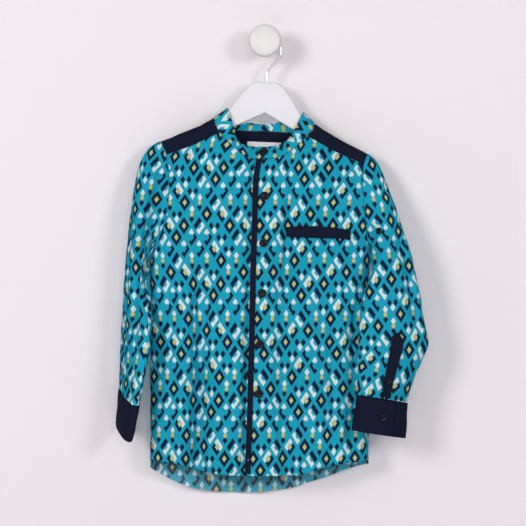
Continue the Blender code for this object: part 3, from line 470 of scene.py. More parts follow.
def finish(name, roughness, metallic=0.0, **settings):
    """A material with its shader, and the words for its nodes."""
    material = bpy.data.materials.new(name)
    material.use_nodes = True
    shader = material.node_tree.nodes["Principled BSDF"]
    for socket, value in {"Roughness": roughness, "Metallic": metallic, **settings}.items():
        shader.inputs[socket.replace("_", " ")].default_value = value
    return material, Nodes(material.node_tree), shader


def bump(n, shader, height, metres=1.0):
    """Relief from a height that is in units of so many metres."""
    node = n.put("Bump", 1.0, metres)
    n.feed(node.inputs["Height"], height)
    n.feed(shader.inputs["Normal"], node.outputs[0])


def shaded(colour, share):
    return tuple(share * part for part in colour[:3]) + (1,)


LOZENGE = {"Wide": 0.0190, "High": 0.0290, "Lane": 0.24}  # the print's cell, and its lanes' share
PRINT_COLOURS = {
    "Ground": (0.012, 0.37, 0.53, 1), "Dark": (0.007, 0.018, 0.050, 1),
    "Light": (0.70, 0.81, 0.80, 1), "Accent": (0.66, 0.56, 0.13, 1),
}
NAVY = (0.0085, 0.0115, 0.0270, 1)
WASHED = (0.55, 0.66, 0.68, 1)  # what the print's reverse fades to
GROUPS = {"print": print_group(), "weave": weave_group(), "rumple": rumple_group()}


def woven(
    name, colour_of, roughness=0.82, threads=(0.00042, 0.00007), rumples=(26.0, 0.0016), **settings
):
    """A woven cloth. colour_of(nodes, cloth coordinates) gives its colour before the weave,
    `threads` their distance and height in metres, and `rumples` their scale and height."""
    material, n, shader = finish(name, roughness, **{"Specular_IOR_Level": 0.06, **settings})
    cloth_map = n.put("UVMap", uv_map="cloth").outputs[0]
    weave = n.group(GROUPS["weave"], Cloth=cloth_map, Thread=threads[0])
    rumple = n.group(GROUPS["rumple"], Place=n.place(), Size=rumples[0])
    # the weave's tone is painted shade and highlight of the threads; the rumples' tone is random
    tone = n.math("MULTIPLY", weave["Tone"], rumple["Tone"])
    n.feed(shader.inputs["Base Color"], n.mix(1.0, colour_of(n, cloth_map), tone, "MULTIPLY"))
    height = n.math("MULTIPLY", weave["Height"], threads[1])
    bump(n, shader, n.math("MULTIPLY_ADD", rumple["Height"], rumples[1], height))
    return material


def printed(n, cloth_map, fade=0.0):
    """The lozenge print, with its ink a little uneven, faded by a share."""
    bleed = n.put("TexNoise", cloth_map)
    bleed.inputs["Scale"].default_value = 420
    shake = (bleed.outputs["Color"], (0.0005, 0.0005, 0), cloth_map)
    shaken = n.put("VectorMath", *shake, operation="MULTIPLY_ADD").outputs[0]
    colour = n.group(GROUPS["print"], Cloth=shaken, **LOZENGE, **PRINT_COLOURS)["Colour"]
    return n.mix(fade, colour, WASHED)


def plain_colour(colour):
    """For woven(): one dyed colour, with the specks of its lighter threads."""

    def colour_of(n, cloth_map):
        speck = n.math("GREATER_THAN", n.noise(cloth_map, 1500, 0.0), 0.6)
        lighter = tuple(2.2 * part + 0.003 for part in colour[:3]) + (1,)
        return n.mix(n.math("MULTIPLY", speck, 0.5), colour, lighter)

    return colour_of


def make_paint(name, colour, roughness, grain):
    """Painted wood: brush grain along X, faint wear and a thin clear coat."""
    material, n, shader = finish(name, roughness, Coat_Weight=0.25, Coat_Roughness=0.2)
    brush = n.noise(n.stretched(n.place(), (40, 400, 400)), 1.0, 3.0)
    wear = n.noise(n.place(), 35.0, 4.0)
    worn = n.mix(n.math("MULTIPLY", wear, 0.5), colour, shaded(colour, 0.88))
    n.feed(shader.inputs["Base Color"], worn)
    n.feed(shader.inputs["Roughness"], n.math("MULTIPLY_ADD", wear, 0.2, roughness - 0.08))
    bump(n, shader, n.math("MULTIPLY_ADD", brush, grain, n.math("MULTIPLY", wear, grain)))
    return material


def mottled(name, roughness, noise, colours, relief, rough_by=None, metallic=0.0, **settings):
    """A material that goes between two colours by a noise, given by its scale and detail. `relief`
    is the scale, detail and depth of its bumps, and `rough_by` the factor and the start by which
    the noise gives the roughness."""
    material, n, shader = finish(name, roughness, metallic, **settings)
    cloud = n.noise(n.place(), *noise)
    n.feed(shader.inputs["Base Color"], n.mix(cloud, *colours))
    if rough_by:
        n.feed(shader.inputs["Roughness"], n.math("MULTIPLY_ADD", cloud, *rough_by))
    bump(n, shader, n.noise(n.place(), *relief[:2]), relief[2])
    return material, n, shader


def thread(name, colour):
    """Twisted sewing thread."""
    twist, colours = (2600.0, 1.0), (shaded(colour, 0.55), colour)
    settings = {"Sheen_Weight": 0.02, "Specular_IOR_Level": 0.1}
    return mottled(name, 0.6, twist, colours, (*twist, 0.00012), **settings)[0]


SHIRTING = woven("printed_cotton", printed)
REVERSE = woven("reverse_of_print", lambda n, cloth_map: printed(n, cloth_map, 0.12))
NAVY_COTTON = woven(
    "navy_cotton", plain_colour(NAVY), rumples=(26.0, 0.0008), Sheen_Weight=0.01,
    Sheen_Roughness=0.45, Specular_IOR_Level=0.03,
)
SATIN = woven(  # the woven white label, left blank
    "label_satin",
    lambda n, cloth_map: (0.86, 0.86, 0.87, 1),
    0.42,
    (0.00028, 0.00005), (60.0, 0.0004),
    Sheen_Weight=0.25,
    Specular_IOR_Level=0.6,
)
PLASTIC = mottled(
    "button_plastic", 0.3, (420.0, 4.0), ((0.0015, 0.0015, 0.0025, 1), (0.008, 0.007, 0.010, 1)),
    (420.0, 4.0, 0.00005), (0.22, 0.24), Specular_IOR_Level=0.3, Coat_Weight=0.08,
    Coat_Roughness=0.15,
)[0]
NAVY_THREAD = thread("navy_thread", (0.012, 0.016, 0.038, 1))
BLUE_THREAD = thread("turquoise_thread", (0.012, 0.33, 0.48, 1))
WHITE_THREAD = thread("white_thread", (0.70, 0.72, 0.74, 1))
WOOD_PAINT = make_paint("painted_wood", (0.86, 0.85, 0.89, 1), 0.42, 0.00006)
KNOB_PAINT = make_paint("painted_knob", (0.86, 0.83, 0.82, 1), 0.36, 0.00002)
STEEL = mottled(  # drawn wire, faintly smeared
    "polished_steel",
    0.16,
    (160.0, 3.0),
    ((0.60, 0.60, 0.63, 1), (0.80, 0.80, 0.82, 1)),
    (2500.0, 1.0, 0.00002), (0.16, 0.08),
    metallic=1.0,
)[0]
SLOTS = {"printed_cotton": "printed_cloth", "navy_cotton": "navy_cloth", "label_satin": "label"}
PRINT_CLOTH = (SHIRTING, REVERSE)  # outer and inner face
NAVY_CLOTH = (NAVY_COTTON, NAVY_COTTON)


# ------------ mesh helpers


def metres(points):
    """Scene coordinates of (x, out, drop) in millimetres."""
    return np.stack([points[..., 0], -points[..., 1], -points[..., 2]], -1) * MM


def unit(vectors):
    return vectors / np.maximum(np.linalg.norm(vectors, axis=-1, keepdims=True), 1e-12)


def inward(surface, u, v, towards, ring=False):
    """Unit vectors into the cloth, square to the surface. `towards` is 1 or -1 and says which of
    its two sides the wall is on."""
    step = 1e-4
    low_u, high_u = (u - step, u + step) if ring else np.clip((u - step, u + step), 0, 1)
    along_u = surface(high_u, v) - surface(low_u, v)
    along_v = surface(u, np.clip(v + step, 0, 1)) - surface(u, np.clip(v - step, 0, 1))
    return unit(np.cross(along_u, along_v)) * towards


def moved_out(surface, towards, distance):
    """The same surface, moved out of the cloth: for a piece that lies on another."""
    return lambda u, v: surface(u, v) - distance * inward(surface, u, v, towards)


ROUND = 0.7  # how far in from its edge the cloth gets its whole thickness
EDGE_SHARE = 0.35  # of the thickness, left at the very edge


def lines(count, length, close=()):
    """Places from 0 to 1 for the mesh's lines over a length, with close ones at its rounded edges.
    `close` are more places that need a line of their own."""
    near = np.array([0, 0.3, 1]) * ROUND / length
    middle = np.linspace(near[-1], 1 - near[-1], count)
    return np.unique(np.round(np.concatenate([near, middle, 1 - near, close]), 7))


def thickness(places, length):
    """Share of the cloth's thickness at places over a length, less at its two edges."""
    from_edge = np.clip(np.minimum(places, 1 - places) * length / ROUND, 0, 1)
    return EDGE_SHARE + (1 - EDGE_SHARE) * np.sqrt(1 - (1 - from_edge) ** 2)


def hanging(points, anchor=0):
    """Flat cloth coordinates of a panel that hangs: across from the anchor column, without what
    a row rises or falls, and down."""
    steps = np.diff(points[..., :2], axis=1)
    across = np.cumsum(np.hypot(steps[..., 0], steps[..., 1]), 1)
    across = np.concatenate([np.zeros((len(points), 1)), across], 1)
    return np.stack([across - across[:, [anchor]], -points[..., 2]], -1)


def banded(points):
    """Flat cloth coordinates of a straight band, from its mean steps along it and across it."""
    along, across = (
        np.append(0, np.cumsum(np.linalg.norm(np.diff(points, axis=axis), axis=-1).mean(1 - axis)))
        for axis in (1, 0)
    )
    return np.stack(np.meshgrid(along, across[-1] - across), -1)


def along_arm(side):
    """Flat cloth coordinates of a sleeve, whose threads follow the bent line of the arm."""
    places = np.linspace(0, 1, 60)
    line = np.stack([ARM_LINE[side](name, places) for name in ("x", "drop")], -1)
    steps = np.linalg.norm(np.diff(line, axis=0), axis=1)
    down = np.concatenate([[0], np.cumsum(steps)])
    run = unit(np.gradient(line, axis=0))
    square = np.stack([run[:, 1], -run[:, 0]], -1)

    def flat(points):
        to_line = points[..., None, [0, 2]] - line
        far = np.sum(to_line**2, -1)
        near = np.exp((far.min(-1, keepdims=True) - far) / (2 * ARM_BLUR**2))
        near = near / near.sum(-1, keepdims=True)
        low = np.sum(near * (down + np.sum(to_line * run, -1)), -1)
        aside = -SIDE[side] * np.sum(near * np.sum(to_line * square, -1), -1)
        steps = np.hypot(np.diff(aside, axis=1), np.diff(points[..., 1], axis=1))
        across = np.concatenate([np.zeros((len(points), 1)), np.cumsum(steps, 1)], 1)
        front, half, back = (round(share * (points.shape[1] - 1)) for share in (0.25, 0.5, 0.75))
        before = across + (aside - across)[:, [front]]
        behind = across - (aside + across)[:, [back]]
        shift = before[:, 0] - behind[:, -1]
        shift[points[:, 0, 2] < CAP_LOW] = shift[points[:, 0, 2] >= CAP_LOW][0]
        behind = behind + shift[:, None]
        across = np.concatenate([before[:, : half + 1], behind[:, half + 1 :]], 1)
        return np.stack([across, -low], -1)

    return flat


def rolled(points):
    """Flat cloth coordinates of a tube or a band, along its columns and square to them."""
    down = np.linalg.norm(np.diff(points, axis=0), axis=-1)
    down = np.concatenate([np.zeros((1, points.shape[1])), np.cumsum(down, 0)])
    run = unit(np.gradient(points, axis=0))
    side = np.diff(points, axis=1)
    run = (run[:, 1:] + run[:, :-1]) / 2
    square = side - run * np.sum(side * run, -1, keepdims=True)
    across = np.cumsum(np.linalg.norm(square, axis=-1), 1)
    across = np.concatenate([np.zeros((len(points), 1)), across], 1)
    return np.stack([across, down[-1] - down], -1)


ARM_LINE = {  # the bent line of each arm, from the shoulder to the wrist
    "left": Table(
        "place x drop", (0, -150, 125), (0.5, -160, 300), (0.85, -170, 455), (1, -177, 510)
    ),
    "right": Table(
        "place x drop",
        (0, 138, 140), (0.5, 156, 300), (0.7, 159, 390), (0.85, 147, 447), (1, 138, 500),
    ),
}
SEAM_DEEP = 1.3  # how deep the armhole's sewn edges lie
SEAM_ROUND = 0.95
ARM_BLUR = 14.0  # how far along the line its bends are evened out
CAP_LOW = 205.0  # above this drop the print isn't matched where the sleeve's front and back meet

CUTS = {  # node: cut width and length in metres, share of that which is cloth, how held, on what
    "front_right": (0.1654, 0.4293, 0.877, "hung", "yoke"),
    "front_left": (0.1684, 0.4254, 0.878, "hung", "yoke"),
    "back": (0.2907, 0.4040, 0.916, "hung", "yoke"),
    "yoke": (0.2600, 0.1028, 0.685, "draped", "hanger"),
    "collar": (0.3258, 0.0176, 0.952, "gathered", "yoke"),
    "sleeve_right": (0.1878, 0.3303, 0.629, "hung", "yoke"),
    "sleeve_left": (0.2006, 0.3110, 0.699, "hung", "yoke"),
    "cuff_right": (0.1708, 0.0443, 0.963, "hung", "sleeve_right"),
    "cuff_left": (0.1896, 0.0437, 0.997, "hung", "sleeve_left"),
    "placket_right": (0.0108, 0.0802, 0.909, "laid", "sleeve_right"),
    "placket_left": (0.0157, 0.0853, 0.808, "laid", "sleeve_left"),
    "pocket_welt": (0.0816, 0.0149, 0.919, "laid", "front_left"),
    "neck_label": (0.0431, 0.0201, 1.0, "laid", "yoke"),
}
SEWN_ON = {"front_left": ("front_strip_navy_cotton", "strip_stitches", "strip_tack")}

WAVES = (  # soft unevenness of all the cloth: waves to the metre over x and drop, and depth in mm
    (31, 7, 0.5, 0.14), (-17, 23, 2.1, 0.16), (9, -37, 4.4, 0.12), (53, 19, 1.2, 0.09),
    (-43, 47, 3.3, 0.07), (71, -29, 5.6, 0.05),
)


def uneven(points):
    """How far the small unevenness of hung cloth pushes it in."""
    total = np.zeros(points.shape[:-1])
    for over_x, over_drop, start, depth in WAVES:
        phase = 2 * math.pi * MM * (over_x * points[..., 0] + over_drop * points[..., 2])
        total = total + depth * np.sin(phase + start + 0.05 * points[..., 1])
    return total


def creased(piece, points, facing):
    """How far the short creases of one piece push its cloth in."""
    total = np.zeros(points.shape[:-1])
    for (name, side), creases in CREASES.items():
        for x, drop, lean, length, width, depth in creases if name == piece else ():
            lean = math.radians(lean)
            over_x, over_drop = points[..., 0] - x, points[..., 2] - drop
            along = over_drop * math.cos(lean) + over_x * math.sin(lean)
            aside = over_x * math.cos(lean) - over_drop * math.sin(lean)
            bow = aside - (along / length) ** 2 * width * 0.6
            shape = np.exp(-((along / length) ** 2) - (bow / width) ** 2)
            total = total + depth * shape * smooth(side * facing * 3)
    return total


STITCH_SINK = 0.22  # how far a row of stitches draws the cloth in
STITCH_WIDE = 0.7


def sunk(distance):
    """The groove along a row of stitches, by the distance from it."""
    return -STITCH_SINK * np.exp(-((distance / STITCH_WIDE) ** 2))


def cloth(node, surface, towards, size, counts, finish, flat, **ways):
    """A fine shell of cloth in place of a node. surface(u, v) is its outer face, `size` its width
    and length, `counts` its columns and rows, flat(points) its flat cloth coordinates and `finish`
    the materials of its outer and inner face. The ways are: columns, its own; close, more rows;
    plain, the face without folds; ring, closed in u; wall, its thickness; seams, of which each
    lies across u (0) or v (1) at a share of its size, from one share to another of the way, with
    a number of points; puff, how far it swells between its edges; relief(points), how far it
    stands out elsewhere; inside(points), the same of a turned hem inside; sewn, the name, thread
    and depth of its stitches."""
    ring, wall = ways.get("ring", False), ways.get("wall", CLOTH)
    columns = ways.get("columns", lines(counts[0], size[0]))
    rows = lines(counts[1], size[1], ways.get("close", ()))
    u, v = np.meshgrid(columns, rows)
    points = surface(u, v)
    wall_way = inward(ways.get("plain", surface), u, v, towards, ring)
    push = uneven(points) + creased(node, points, -wall_way[..., 1])
    relief = ways.get("puff", 0) * np.sin(math.pi * v)
    for across, share, *_ in ways.get("seams", ()):
        relief = relief + sunk(((u, v)[across] - share) * size[across])
    if "relief" in ways:
        relief = relief + ways["relief"](points)
    push = push - relief
    share = thickness(v, size[1])
    if not ring:
        share = np.minimum(share, thickness(u, size[0]))
    outer = points + wall_way * (push + wall * (1 - share) / 2)[..., None]
    turned_in = ways["inside"](points) if "inside" in ways else 0
    inner = points + wall_way * (push + turned_in + wall * (1 + share) / 2)[..., None]
    flat_places = flat(points) * MM

    mesh = bmesh.new()
    last = len(columns) - 1
    bmesh.ops.create_grid(mesh, x_segments=last, y_segments=len(rows) - 1, size=0.5)
    place = mesh.verts.layers.int.new("place")
    for vertex in mesh.verts:
        column = round((vertex.co.x + 0.5) * last)
        row = round((vertex.co.y + 0.5) * (len(rows) - 1))
        vertex[place] = row * (last + 1) + column
        if ring:
            turn = 2 * math.pi * column / last
            vertex.co = (math.cos(turn), math.sin(turn), row)
            if column == last:
                vertex[place] = row * (last + 1)
    if ring:
        bmesh.ops.remove_doubles(mesh, verts=mesh.verts, dist=1e-5)
    deep = set(extruded(mesh))
    outer, inner = metres(outer).reshape(-1, 3), metres(inner).reshape(-1, 3)
    for vertex in mesh.verts:
        vertex.co = (inner if vertex in deep else outer)[vertex[place]]
    unwrap(mesh, place, flat_places, last if ring else None)
    for face in mesh.faces:
        face.material_index = int(all(vertex in deep for vertex in face.verts))
    bmesh.ops.recalc_face_normals(mesh, faces=mesh.faces)
    piece = add(f"{node}_{finish[0].name}", mesh, *finish)
    stands_for(piece, node, SLOTS[finish[0].name])
    if node in CUTS:
        wide, long, area, held, rests_on = CUTS[node]
        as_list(SEWN_ON.get(node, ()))
    if "sewn" in ways:
        name, thread, lift = ways["sewn"]
        rows = []
        for across, share, start, end, count in ways["seams"]:
            along = np.linspace(start, end, count)
            place = (along, share) if across else (share, along)
            rows.append(row_on(surface, towards, *place, lift))
        stitch_rows(name, rows, thread)


def unwrap(mesh, place, flat_places, last):
    """Writes the cloth's flat coordinates as its UV map. `last` is a ring's last column."""
    layer = mesh.loops.layers.uv.new("cloth")
    wide = flat_places.shape[1]
    for face in mesh.faces:
        places = [divmod(loop.vert[place], wide) for loop in face.loops]
        crosses = last is not None and max(column for _, column in places) > last - 3
        for loop, (row, column) in zip(face.loops, places):
            column = last if crosses and column == 0 else column
            loop[layer].uv = flat_places[row, column]


def extruded(mesh):
    """Gives a flat bmesh a second layer, and returns its vertices."""
    made = bmesh.ops.extrude_face_region(mesh, geom=mesh.faces[:])["geom"]
    return [part for part in made if isinstance(part, bmesh.types.BMVert)]


def rounded(mesh, edges, offset, segments, **settings):
    shape = {"profile": 0.5, "affect": "EDGES", "material": -1, **settings}
    bmesh.ops.bevel(mesh, geom=edges, offset=offset, segments=segments, **shape)


def mesh_of(name, mesh):
    """A bmesh as a mesh of that name."""
    data = bpy.data.meshes.new(name)
    mesh.to_mesh(data)
    mesh.free()
    return data


def opened(data):
    """A bmesh of a mesh."""
    mesh = bmesh.new()
    mesh.from_mesh(data)
    return mesh


def linked(name, data):
    """An object of a mesh, a curve, a lamp or a camera in the scene."""
    thing = bpy.data.objects.new(name, data)
    bpy.context.scene.collection.objects.link(thing)
    return thing


def add(name, mesh, *materials, angle=50):
    """The bmesh as a piece of the shirt with its materials, riding on its one body."""
    data = mesh_of(name, mesh)
    data.shade_smooth()
    data.set_sharp_from_angle(angle=math.radians(angle))
    for material in materials:
        data.materials.append(material)
    thing = linked(name, data)
    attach(thing, "root")
    return thing


def stands_for(piece, node, slot):
    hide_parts(node)


# ------------ creases and relief

CREASES = {  # soft creases: a negative depth is a ridge
    # (node, side): x, drop, lean, length, width, depth
    ("front_right", 1): (
        (-72, 300, -1, 62, 5, 4.2), (-81, 300, -1, 62, 3.5, -1.4), (-82, 450, -2, 78, 5, 4.4),
        (-62, 330, 3, 70, 4, 1.6), (-140, 240, -6, 55, 4, 2.6), (-24, 420, -2, 100, 4, 3.0),
        (-98, 190, 24, 34, 6, 1.3), (-112, 226, 38, 26, 5, 1.0), (-60, 262, -8, 40, 6, 0.9),
        (-118, 330, -16, 36, 6, 1.1), (-46, 372, 12, 42, 7, -0.8), (-74, 452, 6, 34, 5, 1.0),
        (-40, 506, -22, 26, 6, 0.9), (-110, 480, 18, 30, 6, -0.9),
    ),
    ("front_left", 1): (
        (28, 290, 4, 60, 5, 3.2), (42, 440, 4, 75, 5, 3.4), (84, 400, 1, 80, 4, 2.0),
        (112, 375, -2, 60, 4.5, 3.8), (60, 350, 1, 60, 4, -1.2), (98, 176, -30, 26, 5, 0.9),
        (112, 268, -34, 30, 6, 1.1), (12, 286, 10, 34, 5, 0.8), (84, 296, -12, 40, 6, -0.8),
        (40, 396, 16, 38, 6, 1.0), (92, 428, -8, 44, 6, 1.1), (10, 470, -6, 36, 5, 0.8),
        (66, 502, 12, 30, 6, 1.0), (118, 470, 8, 36, 5, -0.9),
    ),
    ("back", -1): (
        (-92, 214, 26, 36, 7, 1.2), (88, 220, -28, 34, 7, 1.2), (-30, 300, 8, 46, 7, 1.0),
        (44, 352, -12, 44, 7, 1.1), (-70, 420, -10, 40, 7, 1.0), (8, 470, 14, 42, 6, -0.9),
        (92, 462, 6, 38, 6, 1.0),
    ),
    ("sleeve_right", 1): (
        (-135, 200, -8, 44, 5, 4.0), (-144, 240, -6, 62, 5, 5.0), (-155, 245, -4, 60, 7, -4.0),
        (-160, 330, -3, 60, 6, 2.4), (-151, 176, 30, 22, 5, 1.1), (-164, 236, -36, 20, 5, 1.2),
        (-162, 296, 42, 18, 5, 1.3), (-168, 352, -30, 20, 5, 1.2), (-170, 404, 26, 22, 4, 1.0),
    ),
    ("sleeve_right", -1): (
        (-160, 250, 34, 22, 6, 1.2), (-166, 350, -34, 22, 6, 1.2),
    ),
    ("sleeve_left", 1): (
        (146, 190, -36, 22, 5, 1.1), (158, 262, 40, 22, 6, 1.3), (150, 318, 58, 24, 6, 1.4),
        (166, 352, 66, 24, 6, -1.2), (140, 372, 48, 22, 5, 1.2), (176, 398, 24, 20, 5, 1.1),
        (134, 418, 16, 18, 4, 1.0),
    ),
    ("sleeve_left", -1): (
        (152, 250, 34, 24, 6, 1.3), (156, 340, -38, 24, 6, 1.3),
    ),
    ("collar", 1): (
        (-34, 124, 62, 12, 4, 0.5), (30, 122, -60, 12, 4, 0.5),
    ),
    ("cuff_left", 1): (
        (130, 470, 74, 20, 5, 0.6), (160, 486, 80, 18, 4, -0.5),
    ),
    ("cuff_right", 1): (
        (-172, 476, 70, 12, 4, 0.6),
    ),
    ("yoke", 1): (
        (92, 152, 64, 18, 5, 0.6), (-96, 132, -60, 18, 5, 0.6),
    ),
}
HEM = 9.0  # how deep the hem is turned up
HEM_RISE = 0.35


def turned_hem(edge):
    """For cloth(): the hem turned up inside, and the groove of its stitches, from the table of
    the cloth's edge."""

    def from_fold(points):
        return edge("drop", points[..., 0]) - points[..., 2] - HEM

    return {
        "relief": lambda points: sunk(from_fold(points) + 1.2),
        "inside": lambda points: HEM_RISE * (1 - smooth(from_fold(points) / 0.8)),
    }


# ------------ stitches

STITCH = {"pitch": 2.7, "length": 1.9, "thick": 0.42}


def stitch_shape():
    """One stitch along X: a thin thread that dips into the cloth at both ends."""
    mesh = bmesh.new()
    turn = Matrix.Rotation(math.pi / 2, 4, "Y")
    bmesh.ops.create_uvsphere(mesh, u_segments=6, v_segments=5, radius=0.5, matrix=turn)
    thick = STITCH["thick"]
    bmesh.ops.scale(mesh, verts=mesh.verts, vec=(STITCH["length"], thick, thick))
    return mesh_of("one_stitch", mesh)


def stitch_rows(name, rows, thread):
    """Rows of stitches as one piece. Each row is its points and their directions into the cloth."""
    shape = stitch_shape()
    mesh = bmesh.new()
    for points, ways in rows:
        runs = np.concatenate([[0], np.cumsum(np.linalg.norm(np.diff(points, axis=0), axis=1))])
        for start in np.arange(0.6, runs[-1] - STITCH["length"], STITCH["pitch"]):
            ends = [
                np.array([np.interp(at, runs, points[:, axis]) for axis in range(3)])
                for at in (start, start + STITCH["length"])
            ]
            deep = unit(np.array([np.interp(start, runs, ways[:, axis]) for axis in range(3)]))
            centre = (ends[0] + ends[1]) / 2 - deep * STITCH["thick"] * 0.15
            along = Vector(metres(ends[1] - ends[0])).normalized()
            up = -Vector(metres(deep)).normalized()
            side = up.cross(along).normalized()
            turn = Matrix((along, side, along.cross(side))).transposed().to_4x4()
            count = len(mesh.verts)
            mesh.from_mesh(shape)
            mesh.verts.ensure_lookup_table()
            bmesh.ops.transform(
                mesh,
                matrix=Matrix.Translation(Vector(metres(centre))) @ turn @ Matrix.Scale(MM, 4),
                verts=mesh.verts[count:],
            )
    bpy.data.meshes.remove(shape)
    return add(name, mesh, thread)


def row_on(surface, towards, u, v, lift=0.0, ring=False):
    """The points of a line of a surface, and their directions into the cloth."""
    u, v = np.broadcast_arrays(np.asarray(u, float), np.asarray(v, float))
    ways = inward(surface, u, v, towards, ring)
    return surface(u, v) + ways * lift, ways


# ------------ fronts, their strip and the welt

EDGE = Table(  # left edge of the lapping front, which carries the strip
    "drop x",
    (149, -10.7), (175, -14.8), (231, -16.6), (275, -18.0), (400, -20.6), (474, -22.6),
    (545, -25.2),
)
UNDERLAP = 20.0  # how far the lower front runs on under the upper one
LAP_RAMP = 7.0  # over which it sinks, ending LAP_CLEAR before the upper one's edge
LAP_CLEAR = 3.0
YOKE_SHARE = 0.44  # the share of a front's upper edge that lies along the yoke
STRIP_WIDTH = 7.3
STRIP_END = 0.993  # the share of the front's length where it ends
THIN = 1.0  # wall of the pieces that lie on another
WELT = Table(  # the pocket's welt, from its left end to its right one
    "along x top low",
    (0, 26.0, 233.8, 246.0), (0.4, 58.5, 232.8, 247.6), (0.9, 99.0, 236.5, 249.0),
    (1, 106.5, 238.6, 250.0),
)


def hidden(x, drop):
    """1 where the lower layer of the button lap is under the upper one, and 0 beside it."""
    return smooth((x - EDGE("x", drop) + LAP_RAMP + LAP_CLEAR) / LAP_RAMP)


def neckline(way):
    """x and drop of the neckline."""
    x = NECKLINE("x", way)
    return x, RIDGE("drop", x) + fall_of(NECKLINE("ahead", way))


def yoke_seam(side, along):
    """x and drop of the front yoke seam, from the armhole (0) to the neckline (1)."""
    start_x = float(arm_place(side, FRONT_YOKE_FALL[side])[0])
    start_ahead = ahead_of(FRONT_YOKE_FALL[side])
    x = start_x + (NECKLINE("x", JOINT[side]) - start_x) * along
    ahead = start_ahead + (NECKLINE("ahead", JOINT[side]) - start_ahead) * along
    return x, RIDGE("drop", x) + fall_of(ahead)


def front_top(side, u):
    """x and drop of a front's upper edge: u runs from the armhole to the button edge."""
    seam_x, seam_drop = yoke_seam(side, np.clip(u / YOKE_SHARE, 0, 1))
    along_neck = np.clip((u - YOKE_SHARE) / (1 - YOKE_SHARE), 0, 1)
    last = 0.0 if side == "left" else 1.0
    neck_x, neck_drop = neckline(JOINT[side] + (last - JOINT[side]) * along_neck)
    at_yoke = u <= YOKE_SHARE
    return (
        np.where(at_yoke, seam_x, neck_x),
        np.where(at_yoke, seam_drop + 1.5 * SEAM, neck_drop + NECK_GAP),
    )


ARM_EASE = 50.0  # over which the armhole's x is drawn out to the side seam's
EDGE_HOLD = 8  # how fast a panel's columns stop following the armhole's curve, away from it
EASED_FROM = 0.12  # share of a panel's length over which that begins


def between(first, second, share):
    return first + (second - first) * share


def side_angle(side, drop):
    """The torso angle of the armhole seam and, below it, of the side seam."""

    def reach(low):
        return SIDE[side] * (arm_x(side, low) - TORSO("centre", low)) / TORSO("half", low)

    sine = reach(drop) / reach(ARM_LOW) ** smooth((drop - ARM_LOW + ARM_EASE) / ARM_EASE)
    return SIDE[side] * np.where(drop < ARM_LOW, np.arcsin(np.clip(sine, -1, 1)), math.pi / 2)


def even_side(side, drop):
    """side_angle() without the armhole's curve, for the columns away from it."""
    top = ARM_TOP[side] + FRONT_YOKE_FALL[side]
    first = side_angle(side, top)
    return between(first, SIDE[side] * math.pi / 2, smooth((drop - top) / (ARM_LOW - top)))


def edge_turn(side, drop, other, u):
    """How far the armhole's curve turns a column: all of it at u 0, and less away from it, but
    never so fast that one column passes the next. `other` is the angle at u 1."""
    turn = side_angle(side, drop) - even_side(side, drop)
    room = np.abs(other - even_side(side, drop)) / np.maximum(np.abs(turn), 1e-6)
    return turn * (1 - u) ** np.clip(0.7 * room, 1, EDGE_HOLD)


def button_angle(side, drop):
    """The torso angle of a front's free edge."""
    past = UNDERLAP if side == "left" else 0.0
    return angle_at(EDGE("x", drop) + past, drop)


def front(side):
    """The outer face of a front, and the places of its columns: u runs from its side to its
    button edge, v from top to hem."""
    stations = np.linspace(0, 1, 401)
    top_x, top_drop = front_top(side, stations)
    start = side_angle(side, top_drop)
    end = button_angle(side, top_drop)
    share = (angle_at(top_x, top_drop) - start) / (end - start)
    share = np.maximum.accumulate(np.clip(share, 0, 1))
    share[0], share[-1] = 0, 1

    def surface(u, v, folds=True):
        begin = np.interp(u, share, top_drop)
        low = FRONT_HEM("drop", 0)
        low_angle = SIDE[side] * math.pi / 2 * (1 - u) + button_angle(side, low) * u
        low_x = TORSO("centre", low) + TORSO("half", low) * np.sin(low_angle)
        drop = begin + (FRONT_HEM("drop", low_x) - begin) * v
        angle = between(side_angle(side, drop), button_angle(side, drop), u)
        eased = between(even_side(side, drop), button_angle(side, drop), u)
        eased = eased + edge_turn(side, drop, button_angle(side, drop), u)
        points = torso(1, between(angle, eased, smooth(v / EASED_FROM)), drop, folds)
        points[..., 1] += SEAM / 2
        if side == "left":
            points[..., 1] -= LAP * hidden(points[..., 0], drop)
        return points

    return surface, lambda wanted: np.interp(wanted, stations, share)


def front_face(x, drop):
    """The upper layer's outer face by x and drop."""
    points = torso_at(1, x, drop, fullness_at(x, drop))
    points[..., 1] += SEAM / 2
    return points


def make_fronts():
    for side, node in (("left", "front_right"), ("right", "front_left")):
        face, columns_of = front(side)
        cloth(
            node, face, -SIDE[side], (160, 390), (112, 190), PRINT_CLOTH,
            lambda points: hanging(points, -1),
            columns=np.unique(columns_of(lines(112, 160, (YOKE_SHARE,)))), close=(0.9755, 0.98),
            plain=lambda u, v, face=face: face(u, v, folds=False), **turned_hem(FRONT_HEM)
        )


def strip_face():
    """The navy strip's outer face, made from the lapping front's own points."""
    front_piece = front("right")[0]
    face = moved_out(front_piece, -1, THIN + SEAM + 0.1)
    near = 0.02  # a share of the front's width

    def surface(u, v):
        v = v * STRIP_END
        last = np.ones(np.shape(v))
        width = np.linalg.norm(front_piece(last, v) - front_piece(last - near, v), axis=-1)
        return face(1 - (1 - u) * near * STRIP_WIDTH / width, v)

    return surface


def make_strip():
    """The navy strip down the edge of the lapping front."""
    surface = strip_face()
    seams = [(0, share, 0.004, 0.996, 400) for share in (0.15, 0.85)]
    ways = {"wall": THIN, "seams": seams, "sewn": ("strip_stitches", NAVY_THREAD, 0.05)}
    size = (STRIP_WIDTH, 390)
    cloth("front_strip", surface, -1, size, (9, 150), NAVY_CLOTH, hanging, **ways)
    tack = np.linspace(0.25, 0.8, 12)
    rows = [row_on(surface, -1, tack, 0.955 + 0.0011 * line, -0.1) for line in range(3)]
    stitch_rows("strip_tack", rows, WHITE_THREAD)


